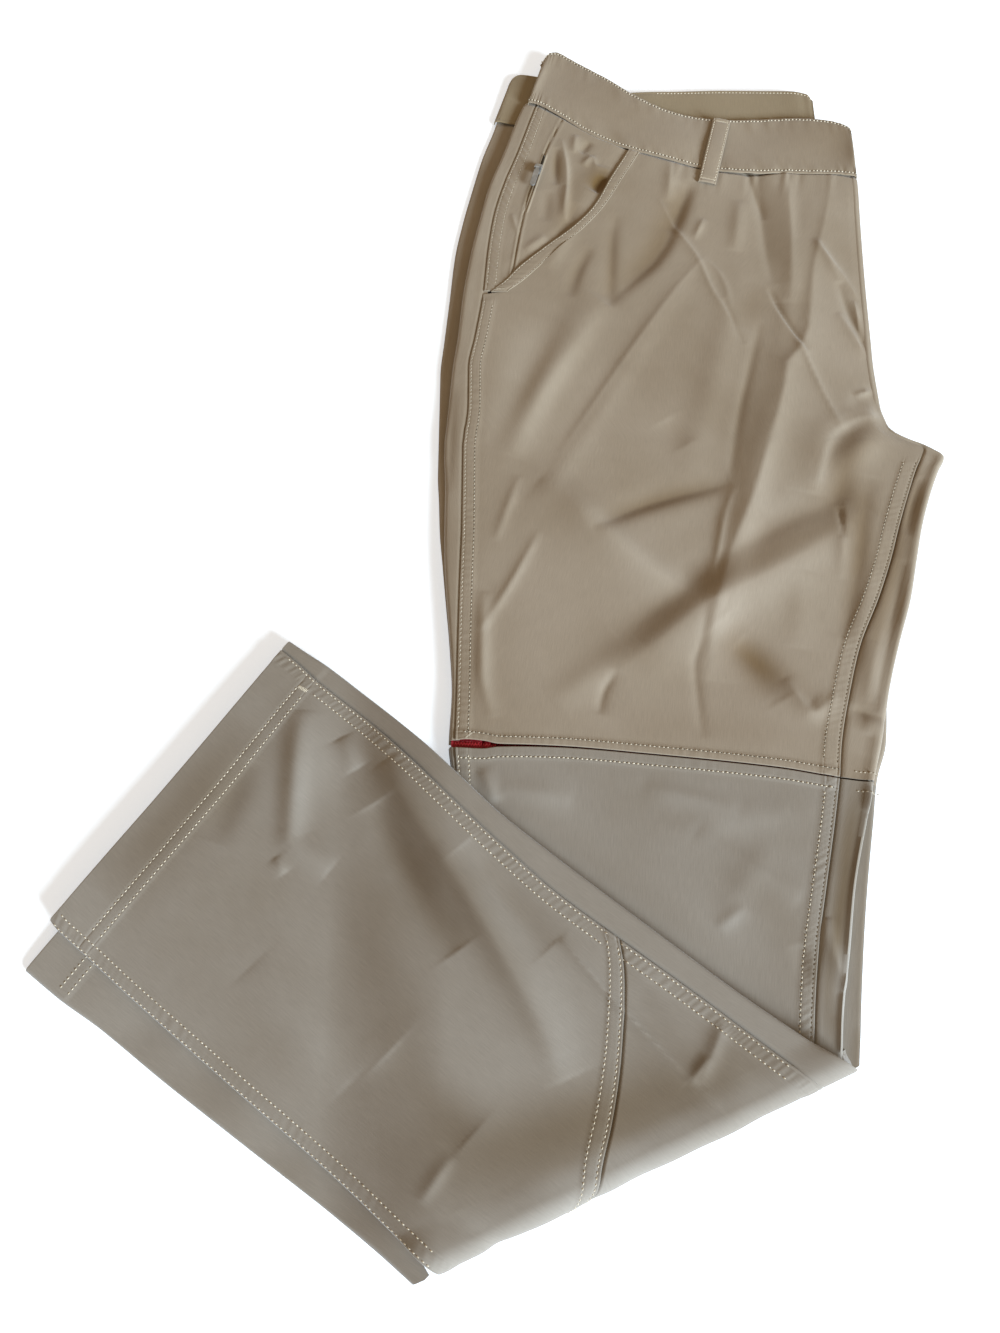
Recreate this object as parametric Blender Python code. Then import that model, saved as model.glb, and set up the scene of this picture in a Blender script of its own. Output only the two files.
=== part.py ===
"""Convertible trousers with zip-off legs, laid flat: folded along the centre line, so that the
right leg lies on the left one, and then folded across below the knee, so that both lower legs
lie back over the thighs, up and to the left, with the left leg on top.

Sizes are in millimetres. X runs to the right, Y towards the waistband, Z up from the floor.
The upper legs are given by level sections, one row for each Y. The folded lower legs are given
by sections across a leg that runs at an angle: s is the distance from the hem, t the distance
across, from the outseam edge. Every piece of cloth is a wall between an outer and an inner
surface, worked out from those sections. The hidden layers of a leg share one rounded solid.
"""

import math

import bmesh
import bpy
import numpy as np

MM = 0.001
CENTRE_SHIFT = (7.86, 7.31)  # moves the origin to the middle of the whole plan

# Cloth, seams and layers
CLOTH = 1.3
SEAM_GAP = 0.3
RIM = 0.7  # least thickness of a solid at its edge
CROWN_REACH = 18.0  # how far inside its edge a leg reaches most of its thickness
EDGE_ROUND = 2.0  # radius of a folded edge

# Each leg: height of its underside, thickness near the edge and in the middle
UNDER_LEG = {"base": 0.0, "edge": 2.0, "middle": 4.0}
TOP_LEG = {"base": 4.4, "edge": 3.6, "middle": 5.6}
OVER_RIGHT = {"base": 0.0, "edge": 2.4, "middle": 4.0}
OVER_LEFT = {"base": 4.4, "edge": 3.6, "middle": 5.6}

# The folded legs climb from the floor onto the upper legs between these two X
CLIMB_FROM = -110.0
CLIMB_TO = -47.0
CLIMB = 10.4
SLOPE_ROOM = 0.8  # extra room between the layers on that slope
FOLD_ROOM = 1.0  # the same inside the fold
CORE_INSET = 10.9  # how far inside the fold the upper legs' hidden layers end

# Upper legs: a row for each section, X of each line at that Y
UPPER_COLUMNS = ("y", "under_left", "top_left", "outseam", "front_right", "top_right", "under_right")
UPPER_SECTIONS = [
    (345, -19, -1, 9, 231, 233, 231),
    (326, -23, -8, 3, 231, 233, 231),
    (293, -33, -18, -7, 230, 232, 230),
    (263, -40, -28, -17, 230, 231, 229),
    (235, -46, -34, -24, 228, 229, 227),
    (205, -51, -40, -28, 226, 227, 225),
    (169, -54, -45, -31, 224, 225, 223),
    (135, -57, -48, -36, 222.5, 223.5, 221),
    (110, -59, -51, -40, 221.5, 222.5, 220),
    (82, -59, -53, -40, 222, 223, 221),
    (69, -59, -54, -41, 224, 225.5, 222),
    (63, -59, -54.5, -42, 227, 229, 224),
    (57, -59, -55, -42.5, 235, 238, 228),
    (53, -59, -55, -43, 243, 247, 234),
    (50, -59, -55, -43, 245, 252, 240),
    (45, -59, -55, -43, 243, 258, 252),
    (35, -59, -54.5, -43, 238, 253, 250),
    (17, -58, -54, -43, 230.5, 245, 243),
    (-5, -57, -54, -43, 222, 237, 236),
    (-26, -55, -53.5, -43.5, 214.5, 231, 230),
    (-51, -52.6, -51.8, -44, 204, 224, 223),
    (-82, -49.6, -49.2, -44.4, 189, 212.5, 211.5),
    (-109, -48, -47.6, -44.6, 180, 203.5, 204),
    (-140, -49.2, -48.7, -45.2, 171.5, 195, 199),
    (-160, -47, -46.5, -44, 168, 188.5, 191.5),
    (-183, -46.5, -46, -43, 163, 181.5, 186.5),
    (-220, -46, -45.8, -42, 154, 170.5, 178.5),
    (-249, -46, -45.8, -42, 147, 164.5, 173),
    (-291, -46, -46, -42, 140, 155.5, 166.2),
    (-320, -46, -46, -42, 137, 152.5, 162.5),
    (-400, -44, -46, -42, 137, 152.5, 162.5),
]

# Waistband of the right front: a row for each section, from its lower seam to its top edge
WAISTBAND_COLUMNS = ("seam_x", "seam_y", "top_x", "top_y")
WAISTBAND_SECTIONS = [
    (0, 339.5, 11, 378),
    (1.5, 339, 13.5, 384.5),
    (4.5, 338, 17, 389),
    (9, 335.5, 22, 389.5),
    (25, 324, 38, 378),
    (46, 308, 57, 363),
    (71, 295, 81, 343),
    (95, 286, 103, 331),
    (119, 277.5, 125, 325),
    (134, 274, 140, 322.5),
    (159, 271.5, 163, 323.5),
    (186, 272.5, 187, 324.5),
    (212, 272.5, 211, 322),
    (225, 271, 225, 318.5),
    (229, 270.5, 230, 316),
    (230.5, 270, 231.5, 311),
]
BAND_EXTRA = 0.5  # the doubled band stands this much prouder than the panels
BAND_INNER = 6.9  # height of its hidden side
BAND_LENGTH = 250.0

# Back waistband, whose inner side shows past the front one
BACK_BAND_COLUMNS = ("low_x", "low_y", "top_x", "top_y")
BACK_BAND_SECTIONS = [
    (20, 330, 30, 352),
    (60, 302, 66, 353),
    (100, 290, 102, 355),
    (150, 282, 150, 355.5),
    (195, 280, 195, 354.5),
    (203, 280, 204, 352.5),
    (207, 280, 208, 346),
]

BACK_BAND_LOW = 4.5
BACK_BAND_HIGH = 6.5

# Waistband of the left leg, underneath: the corner past the right one shows
LEFT_BAND_COLUMNS = ("low_x", "low_y", "top_x", "top_y")
LEFT_BAND_SECTIONS = [
    (-24.5, 328, -15, 360),
    (-21, 327.5, -10, 371),
    (-16, 326, -4, 374),
    (2, 322, 12, 371),
    (60, 296, 66, 342),
    (130, 276, 135, 321),
    (228, 272, 229, 316),
]
LEFT_BAND_HIGH = 4.1

# Zip line across the knee: Y of its middle, and the opening between the two flaps
KNEE_COLUMNS = ("x", "y", "opening")
KNEE_LINE = [
    (-52, -140.5, 2.6),
    (-46, -140.8, 3.6),
    (-37, -141, 5.0),
    (-29, -141.6, 4.8),
    (-21, -142, 2.6),
    (-8, -142.2, 1.5),
    (14, -143, 1.0),
    (60, -147, 0.8),
    (135, -155, 0.8),
    (171, -161, 0.8),
    (200, -164, 0.8),
]
ZIP_REACH = 6.6  # half the width of the zip behind the flaps
ZIP_WALL = 1.0
ZIP_TROUGH = (6.9, 7.2)  # the trough for the zip ends in the thigh between these two distances
LOW_ZIP_TROUGH = (7.4, 7.7)  # the same below the knee
THIGH_LENGTH = 440.0  # from the waist seam to the knee
CALF_LENGTH = 150.0  # from the knee to the fold, at the outseam

# Scoop pocket: the opening's edge and the outer stitch line of its doubled edge
POCKET_COLUMNS = ("y", "edge_x", "stitch_x")
POCKET_LINES = [
    (171, -26, -15),
    (179, -17, -5.5),
    (190, -8, 5),
    (208, 11, 21.5),
    (224, 29, 37),
    (242, 44, 51),
    (270, 58, 66.5),
    (292, 70, 78.5),
    (330, 90, 99),
]
POCKET_END = 170.6  # Y where the opening meets the outseam
POCKET_EDGE_EXTRA = 0.7
FRONT_TOP = 291.9  # Y of the front panel's upper left corner
FRONT_LENGTH = 431.0

# Folded legs: axis from the hem towards the fold, and the fold's slant across the leg
OVER_ORIGIN = (-257.0, -236.0)
OVER_AXIS = (0.8, -0.6)
OVER_ACROSS = (0.6, 0.8)
FOLD_AT = 268.5
FOLD_ANGLE = math.radians(30.0)
FOLD_SLANT = math.tan(FOLD_ANGLE)
FOLD_COS = math.cos(FOLD_ANGLE)
FOLD_SIN = math.sin(FOLD_ANGLE)
FOLD_RADIUS = 0.5 * (CLIMB + OVER_LEFT["base"] + OVER_LEFT["middle"])

OVER_COLUMNS = ("s", "under_low", "under_high", "low", "inseam", "high")
OVER_SECTIONS = [
    (-4, -29, 166, -1.0, 187, 194.5),
    (8, -28.8, 166, -3.2, 186.6, 195),
    (28, -28.4, 166, -3.6, 184.8, 196),
    (60, -25.8, 165, -4.6, 184, 195),
    (98, -24.8, 164, -4.9, 180.4, 192.5),
    (124, -23.6, 162, -5.0, 177, 189.6),
    (164, -21.5, 160, -5.0, 172.5, 185.4),
    (212, -18.8, 158, -5.2, 169, 184.5),
    (245, -17, 158, -5.8, 169.4, 184.4),
    (295, -16.4, 158, -6, 170.6, 184.4),
    (342, -16, 158, -6, 170.8, 186),
    (380, -16, 158, -6, 171.8, 189.5),
]
UNDER_HEM_AT = 6.0  # the right leg's hem lies this far past the left one
HEM_DROP = 2.8  # the left hem runs out this far towards its inseam
HEM_DEPTH = 24.0
HEM_EXTRA = 0.5

# Shaped cross seam on the left lower leg: s of the seam at each t
CROSS_SEAM_COLUMNS = ("t", "s")
CROSS_SEAM = [
    (-8, 348),
    (45, 317),
    (59, 309.3),
    (75, 300.2),
    (97, 291.5),
    (118, 281.5),
    (141, 268),
    (158, 256.5),
    (172, 243),
    (190, 226),
]

# Largest folds: x and y of the start, x and y of the end, height and half-width of the ridge
THIGH_FOLDS = [
    (226, 76, 180, 26, 4.6, 11),
    (190, 24, 118, -42, 3.4, 20),
    (118, -42, 56, -96, 2.6, 18),
    (8, 26, 80, -46, 3.2, 16),
    (38, 168, -14, 50, 1.6, 9),
    (108, 190, 6, 14, 0.9, 7),
    (196, 250, 160, 116, 1.6, 8),
    (160, 116, 104, -80, 2.4, 10),
    (140, 180, 96, 30, 1.2, 10),
    (202, 20, 190, -70, 1.8, 9),
]
CALF_FOLDS = [
    (150, -176, 70, -190, 0.8, 9),
    (128, -196, 96, -236, 0.7, 8),
]
OVER_FOLDS = [
    (-88, -140, -60, -190, 3.0, 11),
    (-60, -190, 8, -300, 3.8, 15),
    (-131, -116, -126, -176, 2.6, 13),
    (-126, -176, -70, -262, 2.2, 16),
    (-150, -240, -70, -320, 1.6, 18),
    (62, -280, 110, -318, 1.2, 7),
    (38, -248, 74, -292, 1.0, 6),
]

# Belt loop, from its lower to its upper end
LOOP_LOW = (124.0, 262.5)
LOOP_HIGH = (139.0, 321.0)
LOOP_WIDTH = 12.4
LOOP_WALL = 1.6
LOOP_ARCH = 1.2

# Zip of the small pocket in the facing, with its slider and pull tab
COIN_ZIP_TOP = (12.5, 292.0)
COIN_ZIP_SLIDER = (6.6, 274.0)
COIN_ZIP_END = (-3.0, 236.0)
COIN_ZIP_WIDTH = 4.6
COIN_ZIP_WALL = 0.9
SLIDER_SIZE = (5.0, 8.0, 1.8)
EAR_SIZE = (0.8, 2.2, 1.9)  # the two ears on the slider that hold the pull tab's barrel
PULL_LENGTH = 17.0
PULL_WIDTH = 3.6
PULL_WALL = 1.1
BARREL_WIDTH = 2.8
NECK_LENGTH = 2.8
HINGE_RADIUS = 0.8

KHAKI = (0.352, 0.287, 0.222)
KHAKI_SHADE = (0.262, 0.212, 0.150)
ZIP_RED = (0.330, 0.012, 0.022)
METAL = (0.560, 0.545, 0.520)


def pchip(x, xs, ys):
    """Smooth curve through the rows of a table that never swings past them: a cubic in each span,
    whose slope at a row is the harmonic mean of the slopes on both sides, or nought at a turn."""
    order = np.argsort(xs)
    xs = np.asarray(xs, float)[order]
    ys = np.asarray(ys, float)[order]
    span = np.diff(xs)
    slope = np.diff(ys) / span
    product = slope[:-1] * slope[1:]
    safe = np.where(product > 0, slope[:-1] + slope[1:], 1.0)
    inner = np.where(product > 0, 2.0 * product / safe, 0.0)
    tangent = np.concatenate([slope[:1], inner, slope[-1:]])
    x = np.asarray(x, float)
    k = np.clip(np.searchsorted(xs, x) - 1, 0, len(span) - 1)
    f = np.clip((x - xs[k]) / span[k], 0.0, 1.0)
    h = span[k]
    return (
        ys[k] * (2 * f**3 - 3 * f**2 + 1)
        + h * tangent[k] * (f**3 - 2 * f**2 + f)
        + ys[k + 1] * (3 * f**2 - 2 * f**3)
        + h * tangent[k + 1] * (f**3 - f**2)
    )


def reader(columns, rows, key):
    """Returns a function (name, at) that reads one column of a table smoothly along the key."""
    table = np.array(rows, float)
    keys = table[:, columns.index(key)]

    def read(name, at):
        return pchip(at, keys, table[:, columns.index(name)])

    return read


upper = reader(UPPER_COLUMNS, UPPER_SECTIONS, "y")
knee = reader(KNEE_COLUMNS, KNEE_LINE, "x")
pocket = reader(POCKET_COLUMNS, POCKET_LINES, "y")
over = reader(OVER_COLUMNS, OVER_SECTIONS, "s")
cross_seam = reader(CROSS_SEAM_COLUMNS, CROSS_SEAM, "t")
waist = reader(WAISTBAND_COLUMNS, WAISTBAND_SECTIONS, "seam_x")
left_waist = reader(LEFT_BAND_COLUMNS, LEFT_BAND_SECTIONS, "low_x")


def to_plan(s, t):
    """Point of the folded legs' own sections on the plan."""
    x = OVER_ORIGIN[0] + s * OVER_AXIS[0] + t * OVER_ACROSS[0]
    y = OVER_ORIGIN[1] + s * OVER_AXIS[1] + t * OVER_ACROSS[1]
    return x, y


def crown(depth, leg):
    """Thickness of a leg at a distance inside its edge: a quarter round at the edge, and then a
    slow rise to the thickness of the middle."""
    depth = np.maximum(depth, 0.0)
    round_part = np.sqrt(1.0 - np.clip(1.0 - depth / EDGE_ROUND, 0.0, 1.0) ** 2)
    rise = (leg["middle"] - leg["edge"]) * (1.0 - np.exp(-depth / CROWN_REACH))
    return RIM + (leg["edge"] - RIM) * round_part + rise


def climb(x):
    """Height of what the folded legs lie on: the floor, then a soft slope onto the upper legs."""
    f = np.clip((x - CLIMB_FROM) / (CLIMB_TO - CLIMB_FROM), 0.0, 1.0)
    return CLIMB * f * f * (3.0 - 2.0 * f)


def folds(x, y, table):
    """Height added by soft ridges: each falls off as a bell across its line, and tapers to
    nothing at both ends."""
    z = np.zeros_like(x)
    for x0, y0, x1, y1, height, half_width in table:
        length = math.hypot(x1 - x0, y1 - y0)
        ux = (x1 - x0) / length
        uy = (y1 - y0) / length
        along = ((x - x0) * ux + (y - y0) * uy) / length
        across = (x - x0) * -uy + (y - y0) * ux
        taper = np.sin(np.pi * np.clip((along + 0.2) / 1.4, 0.0, 1.0)) ** 1.5
        z = z + height * taper * np.exp(-((across / half_width) ** 2))
    return z


def stations(count, extra=()):
    """Evenly spaced fractions from 0 to 1 with a few exact ones in place of those close by."""
    even = [i / count for i in range(count + 1)]
    kept = [v for v in even if all(abs(v - e) > 0.35 / count for e in extra) or v in (0.0, 1.0)]
    return np.array(sorted(set(kept) | set(extra)))


def meet(line, left, right, u, guess):
    """Y at which each fraction u across the sections meets a line y(x)."""
    y = np.full_like(u, guess)
    for _ in range(40):
        x = left(y) * (1.0 - u) + right(y) * u
        y = 0.5 * y + 0.5 * line(x)
    return y


def upper_grid(left, right, top, bottom, us, vs, guess):
    """Plan of an upper piece: at fraction u between its left and right lines, and at fraction v
    from its top line down to its bottom line."""
    y_top = meet(top, left, right, us, guess[0])
    y_bottom = meet(bottom, left, right, us, guess[1])
    y = y_top[None, :] * (1.0 - vs[:, None]) + y_bottom[None, :] * vs[:, None]
    x = left(y) * (1.0 - us) + right(y) * us
    return x, y


def over_grid(low, high, start, end, us, vs):
    """The same for a folded leg, in its own s and t."""
    t = low(np.full_like(us, 100.0)) * (1.0 - us) + high(np.full_like(us, 100.0)) * us
    for _ in range(6):
        s_from = start(t)
        t = low(s_from) * (1.0 - us) + high(s_from) * us
    s_from = start(t)
    t_end = t.copy()
    for _ in range(30):
        s_to = end(t_end)
        t_end = 0.5 * t_end + 0.5 * (low(s_to) * (1.0 - us) + high(s_to) * us)
    s_to = end(t_end)
    s = s_from[None, :] * (1.0 - vs[:, None]) + s_to[None, :] * vs[:, None]
    t = low(s) * (1.0 - us) + high(s) * us
    return s, t


def surface(x, y, z):
    """Rows and columns of points."""
    return np.stack([x, y, z + np.zeros_like(x)], axis=-1)


def material(name, colour, roughness, metallic=0.0):
    """Plain finish of one colour."""
    made = bpy.data.materials.new(name)
    made.use_nodes = True
    shader = made.node_tree.nodes["Principled BSDF"]
    shader.inputs["Base Color"].default_value = (*colour, 1.0)
    shader.inputs["Roughness"].default_value = roughness
    shader.inputs["Metallic"].default_value = metallic
    return made


def add_object(name, points, faces, finish, at=(0.0, 0.0, 0.0), turn=0.0):
    """Makes one named object from points in millimetres about the place where it is put."""
    mesh = bpy.data.meshes.new(name)
    local = (np.asarray(points) - np.asarray(at)) * MM
    cos = math.cos(-turn)
    sin = math.sin(-turn)
    x = local[:, 0] * cos - local[:, 1] * sin
    y = local[:, 0] * sin + local[:, 1] * cos
    local = np.stack([x, y, local[:, 2]], axis=-1)
    mesh.from_pydata([tuple(p) for p in local], [], faces)
    made = bpy.data.objects.new(name, mesh)
    made.location = ((at[0] + CENTRE_SHIFT[0]) * MM, (at[1] + CENTRE_SHIFT[1]) * MM, at[2] * MM)
    made.rotation_euler = (0.0, 0.0, turn)
    made.data.materials.append(finish)
    bpy.context.scene.collection.objects.link(made)
    return made


def grid_faces(rows, columns, first):
    """Triangles of a grid of points, with the same diagonal in every cell."""
    faces = []
    for i in range(rows - 1):
        for j in range(columns - 1):
            a = first + i * columns + j
            b = a + 1
            c = a + columns
            d = c + 1
            faces.append((a, b, d))
            faces.append((a, d, c))
    return faces


def border(rows, columns):
    """Indices around the edge of a grid, in order."""
    top = [j for j in range(columns - 1)]
    right = [i * columns + columns - 1 for i in range(rows - 1)]
    bottom = [(rows - 1) * columns + j for j in range(columns - 1, 0, -1)]
    left = [i * columns for i in range(rows - 1, 0, -1)]
    return top + right + bottom + left


def wall(name, outer, inner, finish, flat_inner=False):
    """Closed solid between an outer and an inner surface on the same grid. A flat inner side is
    one face."""
    rows, columns, _ = outer.shape
    count = rows * columns
    ring = border(rows, columns)
    faces = grid_faces(rows, columns, 0)
    points = outer.reshape(-1, 3)
    if flat_inner:
        points = np.concatenate([points, inner.reshape(-1, 3)[ring]])
        low = [count + k for k in range(len(ring))]
        faces.append(tuple(reversed(low)))
    else:
        points = np.concatenate([points, inner.reshape(-1, 3)])
        low = [count + k for k in ring]
        faces += [(a, c, b) for a, b, c in grid_faces(rows, columns, count)]
    for k in range(len(ring)):
        after = (k + 1) % len(ring)
        faces.append((ring[after], ring[k], low[k]))
        faces.append((ring[after], low[k], low[after]))
    middle = (3 * columns) // 4
    across = outer[0, middle] - outer[0, middle - 1]
    along = outer[1, middle] - outer[0, middle]
    if across[0] * along[1] - across[1] * along[0] < 0:
        faces = [tuple(reversed(face)) for face in faces]
    return add_object(name, points, faces, finish)


def waist_line(offset):
    """Waist seam of the right leg, moved up or down."""
    return lambda x: waist("seam_y", x) + offset


def left_waist_line(offset):
    """Waist seam of the left leg, moved up or down."""
    return lambda x: left_waist("low_y", x) + offset


def knee_line(side, offset=0.0):
    """One side of the zip's opening across the knee: side is 1 above it and -1 below it."""
    return lambda x: knee("y", x) + side * (0.5 * knee("opening", x) + offset)


def fold_line(inset):
    """Line across the upper legs that lies a distance inside the fold."""

    def line(x):
        # the fold is s = FOLD_AT + FOLD_SLANT * t; both are put back in terms of x and y
        ax, ay = OVER_AXIS
        cx, cy = OVER_ACROSS
        px = ax - FOLD_SLANT * cx
        py = ay - FOLD_SLANT * cy
        limit = FOLD_AT - inset / math.cos(math.atan(FOLD_SLANT))
        return OVER_ORIGIN[1] + (limit - (x - OVER_ORIGIN[0]) * px) / py

    return line


def upper_depth(x, y, left, right):
    """Distance inside the nearer side edge of an upper leg."""
    return np.minimum(x - upper(left, y), upper(right, y) - x)


def top_surface(x, y):
    """Outer side of the top leg without its folds."""
    return TOP_LEG["base"] + crown(upper_depth(x, y, "top_left", "top_right"), TOP_LEG)


def strip_columns(left, right, parts):
    """Lines between two others at set fractions of the way."""
    return [lambda y, f=f: left(y) * (1.0 - f) + right(y) * f for f in parts]


def stepped_core(name, top, bottom, guess, vs, deep_at, finish):
    """Hidden layers and back panel of one length of the right leg. Its outer side shows beside
    the front panel, and steps down under the front panel and, near the knee, under the zip."""
    step = CLOTH + SEAM_GAP
    left = lambda y: upper("top_left", y)
    seam = lambda y: upper("outseam", y)
    front = lambda y: upper("front_right", y)
    right = lambda y: upper("top_right", y)
    outside_left = strip_columns(left, lambda y: seam(y) - 0.15, (0.0, 0.12, 0.35, 1.0))
    under = strip_columns(lambda y: seam(y) + 0.15, lambda y: front(y) - 0.15, np.linspace(0, 1, 9))
    outside_right = strip_columns(lambda y: front(y) + 0.15, right, (0.0, 0.65, 0.88, 1.0))
    lines = outside_left + under + outside_right
    drop = [0.0] * 4 + [step] * 9 + [0.0] * 4
    x_columns = []
    y_columns = []
    for line in lines:
        y_top = meet(top, line, line, np.zeros(1), guess[0])
        y_bottom = meet(bottom, line, line, np.zeros(1), guess[1])
        y = y_top * (1.0 - vs) + y_bottom * vs
        x_columns.append(line(y))
        y_columns.append(y)
    x = np.stack(x_columns, axis=1)
    y = np.stack(y_columns, axis=1)
    lowered = np.array(drop)[None, :] * np.ones_like(x)
    lowered = np.where((lowered > 0) & deep_at[:, None], step + ZIP_WALL + SEAM_GAP, lowered)
    z = np.maximum(top_surface(x, y) - lowered, TOP_LEG["base"] + RIM)
    wall(name, surface(x, y, z), surface(x, y, TOP_LEG["base"]), finish, flat_inner=True)


def make_left_leg(finish):
    """Left leg, underneath: thigh and lower leg, flat on the floor, parted by the knee zip."""
    us = np.array([0.0, 0.012, 0.04] + [i / 10 for i in range(1, 10)] + [0.96, 0.988, 1.0])
    left = lambda y: upper("under_left", y)
    right = lambda y: upper("under_right", y)
    crotch = (0.46, 0.475, 0.49, 0.5, 0.51, 0.525)
    thigh = upper_grid(
        left, right, left_waist_line(-2.4), knee_line(1, 0.2), us, stations(18, crotch), (300.0, -140.0)
    )
    lower = upper_grid(
        left, right, knee_line(-1, 0.2), fold_line(CORE_INSET), us, stations(10), (-150.0, -330.0)
    )
    for name, (x, y) in (("thigh_left_under", thigh), ("calf_left_under", lower)):
        z = crown(upper_depth(x, y, "under_left", "under_right"), UNDER_LEG)
        wall(name, surface(x, y, z), surface(x, y, 0.0), finish, flat_inner=True)


def make_right_leg_cores(finish):
    """Back panel and hidden layers of the right leg, above and below the knee zip."""
    near = (1.0 - ZIP_TROUGH[1] / THIGH_LENGTH, 1.0 - ZIP_TROUGH[0] / THIGH_LENGTH)
    crotch = (0.46, 0.475, 0.49, 0.5, 0.51)
    vs = stations(22, crotch + near)
    deep = vs >= near[1] - 1e-6
    stepped_core(
        "thigh_back_right", waist_line(-1.5), knee_line(1, 0.2), (300.0, -140.0), vs, deep, finish
    )
    near = (LOW_ZIP_TROUGH[0] / CALF_LENGTH, LOW_ZIP_TROUGH[1] / CALF_LENGTH)
    vs = stations(9, near)
    deep = vs <= near[0] + 1e-6
    stepped_core(
        "calf_back_right",
        knee_line(-1, 0.2),
        fold_line(CORE_INSET),
        (-150.0, -330.0),
        vs,
        deep,
        finish,
    )


def front_left_line(y):
    """Left edge of the right front: the pocket's stitch line, then the outseam."""
    down = np.clip((POCKET_END - y) / 1.6, 0.0, 1.0)
    along_pocket = pocket("stitch_x", np.maximum(y, 171.0)) + 0.7
    return along_pocket * (1.0 - down) + (upper("outseam", y) + 0.45) * down


def make_thigh_front(finish):
    """Right front panel, from the waist seam to the knee zip, with its largest folds."""
    corner = FRONT_TOP - POCKET_END
    pocket_corner = (corner / FRONT_LENGTH, (corner + 2.7) / FRONT_LENGTH)
    crotch = (0.466, 0.48, 0.494, 0.5035, 0.5104, 0.522)
    us = np.array([0.0, 0.015, 0.045] + [i / 18 for i in range(2, 17)] + [0.955, 0.985, 1.0])
    vs = stations(30, pocket_corner + crotch)
    right = lambda y: upper("front_right", y) - 0.45 - 1.3 * np.exp(-(((y - 54.0) / 9.0) ** 2))
    x, y = upper_grid(
        front_left_line, right, waist_line(-0.3), knee_line(1), us, vs, (290.0, -140.0)
    )
    z = top_surface(x, y) + folds(x, y, THIGH_FOLDS)
    wall("thigh_front_right", surface(x, y, z), surface(x, y, z - CLOTH), finish)


def make_calf_front(finish):
    """Right front below the knee, which runs on under the folded leg."""
    us = np.array([0.0, 0.02, 0.06, 0.15, 0.3, 0.45, 0.6, 0.75, 0.88, 0.95, 1.0])
    left = lambda y: upper("outseam", y) + 0.45
    right = lambda y: upper("front_right", y) - 0.45
    end = fold_line(CORE_INSET)
    x, y = upper_grid(left, right, knee_line(-1), end, us, stations(14), (-145.0, -330.0))
    z = top_surface(x, y) + folds(x, y, CALF_FOLDS)
    wall("calf_front_right", surface(x, y, z), surface(x, y, z - CLOTH), finish)


def make_knee_zip(finish):
    """Zip behind the two flaps at the knee, red where the flaps gape."""
    us = stations(14)
    left = lambda y: upper("outseam", y) + 0.8
    right = lambda y: upper("front_right", y) - 0.8
    above = lambda x: knee("y", x) + ZIP_REACH - 0.3
    below = lambda x: knee("y", x) - ZIP_REACH + 0.3
    x, y = upper_grid(left, right, above, below, us, np.array([0.0, 0.5, 1.0]), (-140.0, -150.0))
    z = top_surface(x, y) - CLOTH - SEAM_GAP
    wall("knee_zip_right", surface(x, y, z), surface(x, y, z - ZIP_WALL), finish)


def make_pocket(finish):
    """Facing that shows inside the scoop pocket, and the doubled edge of the opening."""
    left = lambda y: upper("outseam", y) + 0.45
    edge = lambda y: pocket("edge_x", y)
    stitch = lambda y: pocket("stitch_x", y)
    end = lambda x: np.full_like(x, POCKET_END + 2.6)
    us = stations(8)
    x, y = upper_grid(
        left, lambda y: edge(y) - 0.7, waist_line(-0.3), end, us, stations(10), (300.0, 171.0)
    )
    z = top_surface(x, y)
    wall("pocket_facing_right", surface(x, y, z), surface(x, y, z - CLOTH), finish)
    us = np.array([0.0, 0.25, 0.75, 1.0])
    x, y = upper_grid(
        edge, lambda y: stitch(y) - 0.3, waist_line(-0.3), end, us, stations(16), (295.0, 171.0)
    )
    z = top_surface(x, y)
    raised = z + POCKET_EDGE_EXTRA
    wall("pocket_edge_right", surface(x, y, raised), surface(x, y, z - CLOTH), finish)


def band_grid(columns, sections, count, us):
    """Plan of a band: straight lines from its lower to its upper edge, run along its length."""
    table = np.array(sections, float)
    rows = np.linspace(0.0, 1.0, len(table))
    at = us
    low_x, low_y, top_x, top_y = (pchip(at, rows, table[:, k]) for k in range(4))
    vs = np.linspace(0.0, 1.0, count)[:, None]
    return low_x * (1.0 - vs) + top_x * vs, low_y * (1.0 - vs) + top_y * vs


def end_depth(us, length):
    """Distance from the nearer end of a band."""
    return np.minimum(us, 1.0 - us) * length


def make_waistband(front_finish, back_finish):
    """Waistband: the right front, the back seen past it, and the left one underneath."""
    us = stations(30)
    x, y = band_grid(WAISTBAND_COLUMNS, WAISTBAND_SECTIONS, 6, us)
    y[0] = waist("seam_y", x[0])
    depth = end_depth(us, BAND_LENGTH)
    height = TOP_LEG["base"] + crown(depth, TOP_LEG) + BAND_EXTRA
    z = np.ones_like(x) * height
    z[-1] -= 0.9
    inner = np.minimum(BAND_INNER, z - RIM)
    wall("waistband_front_right", surface(x, y, z), surface(x, y, inner), front_finish)

    us = stations(12)
    x, y = band_grid(BACK_BAND_COLUMNS, BACK_BAND_SECTIONS, 3, us)
    y = np.maximum(y, waist("seam_y", np.clip(x, 0.0, 230.0)) + 0.2)
    outer = surface(x, y, BACK_BAND_HIGH)
    wall("waistband_back_right", outer, surface(x, y, BACK_BAND_LOW), back_finish, flat_inner=True)

    us = stations(14)
    x, y = band_grid(LEFT_BAND_COLUMNS, LEFT_BAND_SECTIONS, 4, us)
    y[0] = left_waist("low_y", x[0])
    depth = end_depth(us, BAND_LENGTH)
    z = np.ones_like(x) * np.minimum(crown(depth, UNDER_LEG) + 0.2, LEFT_BAND_HIGH)
    wall("waistband_left_under", surface(x, y, z), surface(x, y, 0.0), back_finish, flat_inner=True)


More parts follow.
